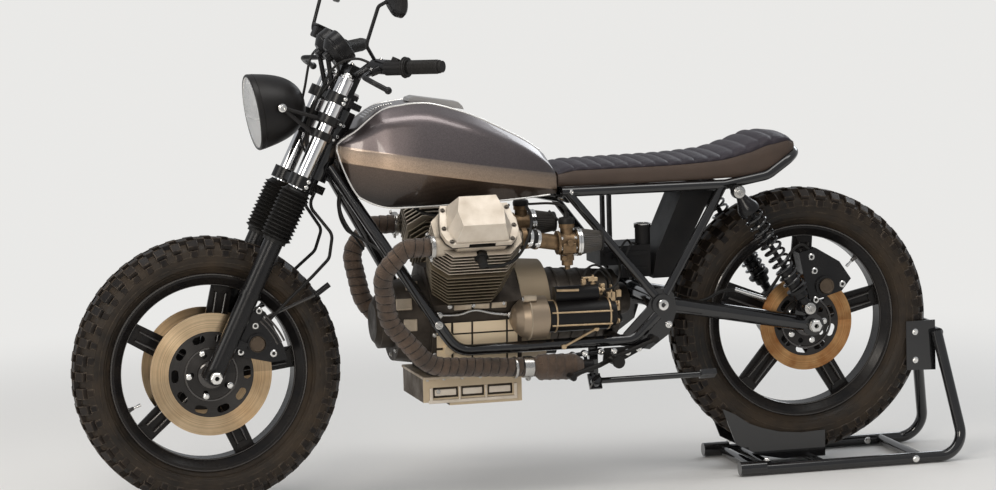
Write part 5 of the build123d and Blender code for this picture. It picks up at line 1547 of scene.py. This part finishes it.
sealMesh, boltMesh, capMesh = bmesh.new(), bmesh.new(), bmesh.new()
for side, (middle, way) in banks.items():
    outline = coverOutline + [(-x, b) for x, b in coverOutline[::-1]]
    addSkin(sealMesh, [[onBank(side, x * 1.006, b * 1.012, height) for x, b in outline]
                       for height in (350.6, 353)])
    for x, b in ((80, -48), (87, 8), (75, 49)):
        for end in (1, -1):
            addBolt(boltMesh, onBank(side, end * x, b, 366), (0, way * s45, s45), 0.0042)
    addRod(capMesh, onBank(side, 0, 64, 325), onBank(side, 0, 97, 325), 0.0115, 24, 0.003)
    addRod(capMesh, onBank(side, 0, 66, 325), onBank(side, 0, 72, 325), 0.0150, 24, 0.001)
    addCord(capMesh, [(middle + x, way * y, z) for x, y, z in leadRows], 0.0038, 12)
newPiece("coverSeals", sealMesh, "chassis", "rubber", "rubber")
newPiece("coverBolts", boltMesh, "chassis", "steel", "darkSteel")
newPiece("plugCaps", capMesh, "chassis", "rubber", "rubber")


# Rod between points in millimetres
def addPin(mesh, start, end, radius, sides=20, bevel=0.0006, material=0):
    addRod(mesh, metres(start), metres(end), radius, sides, bevel, material)


# Cuboid along the frame's axes, its size and middle in millimetres
def addBlock(mesh, size, middle, bevel=0.0008, material=0):
    addBox(mesh, metres(size), Matrix.Translation(metres(middle)), bevel, material)


# Crankcase: oil pipes, case bolts, pads, sump flange and windows, timing cover bolts
caseLook = {
    "oilPipe": [(227, 131, 450), (178, 132, 449), (138, 135, 458), (92, 132, 447), (46, 131, 440)],
    "bolts": ((34, 440), (64, 470), (140, 470), (200, 470), (236, 446), (236, 400), (236, 350), (150, 364),
              (54, 364)),
    "sumpBolts": (30, 76, 122, 168, 214, 256),
    "pads": ((57, 95), (100, 140), (145, 190)),
    "windows": ((44, 99), (116, 166), (182, 237)),
    "posts": ((32, 8), (107.5, 4.5), (174, 4.5), (246, 8)),
    "noseRibs": (((40, 30, 7), (304, 88.5, 476), (0.12, 0.866, 0.5)),
                 ((30, 34, 7), (276, 54, 516), (0.12, 0.5, 0.866)),
                 ((34, 30, 7), (292, 101.5, 426), (0.12, 1, 0.0))),
}


# Half width of the case at a height: the side slopes out below its step and above it
def caseSide(z):
    return 112 + (z - 322) * 8 / 108 if z < 430 else 120 + (z - 430) * 0.32


pipeMesh, caseMesh = bmesh.new(), bmesh.new()
for way in (1, -1):
    out = (0, way, 0)
    addCord(pipeMesh, [(x, way * y, z) for x, y, z in caseLook["oilPipe"]], 0.0034, 12, 6)
    addBolts(pipeMesh, [(x, way * 133, z) for x, z in ((227, 450), (46, 440))], out, 0.0056, "hex")
    addBolts(caseMesh, [(x, way * caseSide(z), z) for x, z in caseLook["bolts"]], out, 0.0040, "hex")
    addBolts(pipeMesh, [(236, way * 163.6, 430)], out, 0.0070)
    addBolts(caseMesh, [(227, way * 98.9, 257)], out, 0.0050, "hex")
    addBolts(caseMesh, [(x, way * 109, 289.5) for x in caseLook["sumpBolts"]], (0, 0, -1), 0.0036, "hex")
for number in range(10):
    angle = radians(18 + 36 * number)
    addBolts(caseMesh, [(319, 83 * cos(angle), 425 + 83 * sin(angle))], (1, 0, 0), 0.0042, "hex")
addBlock(caseMesh, (252, 230, 7), (141, 0, 293), 0.0012, 1)
for way in (1, -1):
    for low, high in caseLook["pads"]:
        at = aimed(metres(((low + high) / 2, way * 132, 467)), (0, way, -0.32))
        addBox(caseMesh, ((high - low) / 1000, 0.015, 0.006), at, 0.0015, 1)
for y, z in ((178, 484), (178, 409), (108, 447)):
    addPin(caseMesh, (-6, y, z), (26, y, z), 0.0085, 20, 0.001, 1)
    addBolts(caseMesh, [(26, y, z)], (1, 0, 0), 0.0046, "hex")
addLathe(caseMesh, [(0.0525, -0.0020), (0.0545, -0.0012), (0.0545, 0.0012), (0.0525, 0.0020)],
         (0.0100, 0.150, 0.433), (1, 0, 0), 72, 1)
for way in (1, -1):
    for size, at, out in caseLook["noseRibs"]:
        addBox(caseMesh, metres(size), aimed(onSide(way, *at), Vector(out) * mirrored[way]), 0.002, 1)
    for low, high in caseLook["windows"]:
        addBlock(caseMesh, (high - low, 3.5, 16), ((low + high) / 2, way * 100.6, 254.5), 0.001, 2)
    addBlock(caseMesh, (226, 5, 9), (140.5, way * 105, 233), 0.0018, 2)
    for x, wide in caseLook["posts"]:
        addBlock(caseMesh, (wide, 5, 34), (x, way * 105, 251), 0.0015, 2)
newPiece("oilPipes", pipeMesh, "chassis", "steel", "steel")
newPiece("caseBolts", caseMesh, "chassis", "cast_alloy", "steel", "castAlloy", "coverAlloy")

# Starter: through rods, terminals and wires, and the rod of the gear change
starterLook = {
    "rods": ((186.5, 446), (184, 414), (150, 471.6)),
    "studs": [
        ((-159, 152, 505), (-159, 152, 530)),
        ((-135, 152, 505), (-135, 152, 526)),
        ((-204, 152, 462), (-204, 152, 482)),
        ((-168, 164, 494), (-186, 164, 494)),
        ((-168, 148, 482), (-184, 148, 482)),
        ((-212, 150, 412), (-222, 150, 412)),
        ((-212, 150, 454), (-222, 150, 454)),
    ],
    "terminals": [
        ((20, 14, 30), (-204, 152, 470)),
        ((24, 12, 10), (-158, 152, 519)),
        ((12, 12, 16), (-182, 152, 499)),
        ((11, 11, 12), (-135, 152, 515)),
        ((9, 11, 18), (-215, 150, 414)),
        ((16, 12, 24), (-222, 138, 448)),
        ((14, 14, 18), (-232, 120, 476)),
    ],
    "wires": [
        [(-135, 152, 526), (-148, 152, 548), (-172, 150, 552), (-202, 146, 528), (-214, 138, 490),
         (-214, 116, 456)],
        [(-159, 152, 530), (-176, 150, 540), (-196, 140, 520), (-206, 124, 500), (-212, 100, 486)],
        [(-186, 164, 494), (-204, 164, 496), (-222, 154, 510), (-238, 120, 540), (-244, 70, 560)],
        [(-184, 148, 482), (-200, 146, 470), (-222, 140, 440), (-240, 120, 410), (-246, 80, 398)],
        [(-60, 120, 690), (-84, 150, 660), (-92, 190, 640), (-88, 212, 622)],
        [(-290, 50, 586), (-270, 74, 600), (-246, 80, 572), (-236, 66, 556)],
        [(-300, 56, 586), (-280, 84, 592), (-262, 92, 560), (-270, 84, 520), (-284, 60, 500)],
    ],
}
rodMesh, brassMesh, wireMesh = bmesh.new(), bmesh.new(), bmesh.new()
for y, z in starterLook["rods"]:
    addPin(rodMesh, (-44, y, z), (-198, y, z - 3), 0.0024, 12)
addPin(rodMesh, (-60, 173.5, 499), (-116, 173.5, 497), 0.0034, 14)
addPin(rodMesh, (-77, 166, 358), (-161, 167, 398), 0.0032, 14)
for x, z in ((-77, 358), (-161, 398)):
    addPin(rodMesh, (x, 158, z), (x, 171, z), 0.0062, 18)
for base in (-196, -60, -40):
    addLathe(rodMesh, [(0.0385, 0), (0.0400, 0.001), (0.0400, 0.004), (0.0385, 0.005)],
             metres((base, 150, 433)), (1, 0, 0), 56)
for start, end in starterLook["studs"]:
    way = (Vector(end) - Vector(start)).normalized()
    addPin(brassMesh, start, end, 0.0030, 12)
    addBolts(brassMesh, [start], way, 0.0056, "hex")
    addBolts(brassMesh, [Vector(start) + way * 9], way, 0.0050, "hex")
addBlock(brassMesh, (4, 14, 34), (-204, 152, 486))
addBlock(brassMesh, (30, 12, 4), (-147, 152, 524))
for size, middle in starterLook["terminals"]:
    addBlock(brassMesh, size, middle, 0.0012)
for rows in starterLook["wires"]:
    addCord(wireMesh, rows, 0.0028)
newPiece("starterRods", rodMesh, "chassis", "steel", "tanMetal")
newPiece("starterTerminals", brassMesh, "chassis", "carb_metal", "tanMetal")
newPiece("engineWires", wireMesh, "chassis", "rubber", "rubber")

# Carburettors: rubber sleeves with clamps, cap, screws, cable; pod filters with pleats
inletY, inletZ = (316 + 12) * s45, 425 + (316 - 12) * s45
carbX, carbY, carbZ = -52.0, inletY - 20, inletZ - 18
filterLook = {"pleats": 40, "pleat": 0.0011, "front": 0.0325, "back": 0.0225, "length": 58}
carbLook = {
    "sleeveBand": [(0.0236, -0.0042), (0.0246, -0.0042), (0.0252, 0), (0.0246, 0.0042), (0.0236, 0.0042)],
    "podBand": [(0.0300, -0.0026), (0.0345, -0.0026), (0.0350, 0), (0.0345, 0.0026), (0.0300, 0.0026)],
    "cap": [(0, -0.004), (0.0200, -0.004), (0.0205, 0.004), (0.0180, 0.010), (0.0070, 0.013), (0.0050, 0.024),
            (0, 0.024)],
    "bowlRing": [(0.0165, 0), (0.0195, 0.001), (0.0195, 0.005), (0.0165, 0.006)],
    "podEnd": [(0, 0), (0.0250, 0), (0.0260, 0.0015), (0.0250, 0.0052), (0.0215, 0.0060), (0, 0.0060)],
    "podCollar": [(0.0300, 0), (0.0338, 0.0005), (0.0338, 0.0075), (0.0325, 0.0085), (0.0300, 0.0085)],
}


# Radius of a pod filter, which narrows to the back
def pleated(distance, angle):
    share = distance / (filterLook["length"] / 1000)
    base = filterLook["front"] + (filterLook["back"] - filterLook["front"]) * share
    return base + filterLook["pleat"] * cos(filterLook["pleats"] * angle)


# Point in millimetres from the mouth of a carburettor's bore
def onCarb(way, x, y, z):
    return (carbX + x, way * (carbY + y), carbZ + z)


sleeveMesh, bandMesh, carbMesh, filterMesh = bmesh.new(), bmesh.new(), bmesh.new(), bmesh.new()
for side, (middle, way) in banks.items():
    out = (0, way, 0)
    port = middle - 112
    axis = Vector((-92 - port + 40, -20, -18)).normalized()
    start = Vector((port - 14, inletY, inletZ))
    addPin(sleeveMesh, start * mirrored[way], (start + axis * 30) * mirrored[way], 0.0235, 36, 0.003)
    for reach in (4, 25):
        centre = Vector(metres((start + axis * reach) * mirrored[way]))
        addLathe(bandMesh, carbLook["sleeveBand"], centre, axis * mirrored[way], 48)
        addRod(bandMesh, centre + Vector((-0.006, way * 0.0240, -0.010)),
               centre + Vector((0.008, way * 0.0240, -0.010)), 0.0032, 12)
    for x in (-51, -57):
        addLathe(bandMesh, carbLook["podBand"], metres(onCarb(way, x, 0, 0)), (-1, 0, 0), 48)
    addLathe(sleeveMesh, carbLook["cap"], metres(onCarb(way, -26, 0, 50)), (0, 0, 1), 32)
    addCord(sleeveMesh, [onCarb(way, -26, 0, 72), onCarb(way, -24, -4, 86), onCarb(way, -4, -60, 90),
                         (carbX + 34, way * 90, carbZ + 84)], 0.0030)
    addBolts(bandMesh, [onCarb(way, x, 20.5, z) for x in (-8, -44) for z in (12, -12)], out, 0.0030)
    addPin(carbMesh, onCarb(way, -26, 18, 2), onCarb(way, -26, 36, 2), 0.0075, 20)
    addBlock(carbMesh, (34, 10, 24), onCarb(way, -26, 23, -12), 0.0015)
    addPin(carbMesh, onCarb(way, -12, 14, -36), onCarb(way, -12, 26, -36), 0.0060, 18)
    addLathe(carbMesh, carbLook["bowlRing"], metres(onCarb(way, -26, 0, -30)), (0, 0, 1), 32)
    addBolts(bandMesh, [onCarb(way, x, y, -30) for y in (14, -14) for x in (-12, -40)], (0, 0, -1), 0.0026)
    pod = [metres(onCarb(way, -53 - filterLook["length"] * i / 12, 0, 0)) for i in range(13)]
    addTube(filterMesh, pod, pleated, 160)
    addLathe(sleeveMesh, carbLook["podEnd"], metres(onCarb(way, -109, 0, 0)), (-1, 0, 0), 40)
    addLathe(sleeveMesh, carbLook["podCollar"], metres(onCarb(way, -52, 0, 0)), (-1, 0, 0), 48)
newPiece("carbSleeves", sleeveMesh, "chassis", "rubber", "rubber")
newPiece("carbBands", bandMesh, "chassis", "chrome", "bright")
newPiece("carbDetails", carbMesh, "chassis", "carb_metal", "carbMetal")
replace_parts(newPiece("podFilters", filterMesh, "chassis", "filter_cloth", "filterCloth", smooth=40),
            "air_filters")
print("engine details made")

# Frame: pivot rings, bracket, chock and rail bolts, gear rods, canister ring and the strip on the tank
frameLook = {
    "pivotRing": [(0.0045, 0), (0.0125, 0), (0.0138, 0.0012), (0.0125, 0.0030), (0.0062, 0.0034),
                  (0.0045, 0.0010)],
    "canisterRing": [(0.0150, 0), (0.0206, 0), (0.0216, 0.0010), (0.0216, 0.0030), (0.0200, 0.0040),
                     (0.0150, 0.0040)],
    "ribs": 12,
    "ribPitch": 6.2,
}
ringMesh, linkMesh, stripMesh = bmesh.new(), bmesh.new(), bmesh.new()
for way in (1, -1):
    out = (0, way, 0)
    addLathe(ringMesh, frameLook["pivotRing"], metres((-334, way * 167, 446)), out, 40)
    addBolts(ringMesh, [(x, way * 154, z) for x, z in ((-351, 395), (-290, 390), (-262, 366))], out, 0.0060)
    addBolts(ringMesh, [(x, way * 162.3, z) for x, z in ((-206, 338), (-241, 334))], out, 0.0056)
    addBolts(ringMesh, [(-992, way * 163.6, 14)], out, 0.0062, "hex")
    addBolts(ringMesh, [(-972, way * 136.4, 14)], (0, -way, 0), 0.0062, "hex")
    addBolts(ringMesh, [(-601, way * 150, 35.6)], (0, 0, 1), 0.0060, "hex")
    addBolts(ringMesh, [(-1030, way * 68, z) for z in (250, 322)], out, 0.0056, "hex")
    addBolts(ringMesh, [(-118, way * 120, 733)], out, 0.0050)
for way in (1, -1):
    addPin(linkMesh, (-180, way * 160, 340), (-98, way * 160, 334), 0.0055, 14)
    addPin(linkMesh, (-131, way * 160, 337), (-134, way * 160, 322), 0.0045, 14)
    for x, z in ((-101, 334.5), (-131, 337), (-172, 339.5)):
        addPin(linkMesh, (x, way * 152, z), (x, way * 166, z), 0.0085, 18)
        addBolts(ringMesh, [(x, way * 166, z)], (0, way, 0), 0.0052)
    addBolts(ringMesh, [(-270, way * 162.3, 340)], (0, way, 0), 0.0050)
addLathe(ringMesh, frameLook["canisterRing"], metres((-322, 40, 633)), (0, 0, 1), 40)
for number in range(frameLook["ribs"]):
    x = 374 - frameLook["ribPitch"] * number
    *_, topZ, _, _ = rowAt(tankRows, x)
    at = aimed(metres((x, 0, topZ + 0.5)), (0.42, 0, 0.9), (0, 1, 0))
    addBox(stripMesh, (0.0034, 0.044, 0.005), at)
newPiece("linkRods", linkMesh, "chassis", "frame_paint", "forkPaint")
newPiece("frameBolts", ringMesh, "chassis", "steel", "bright")
newPiece("tankStrip", stripMesh, "chassis", "chrome", "bright")
print("frame details made")
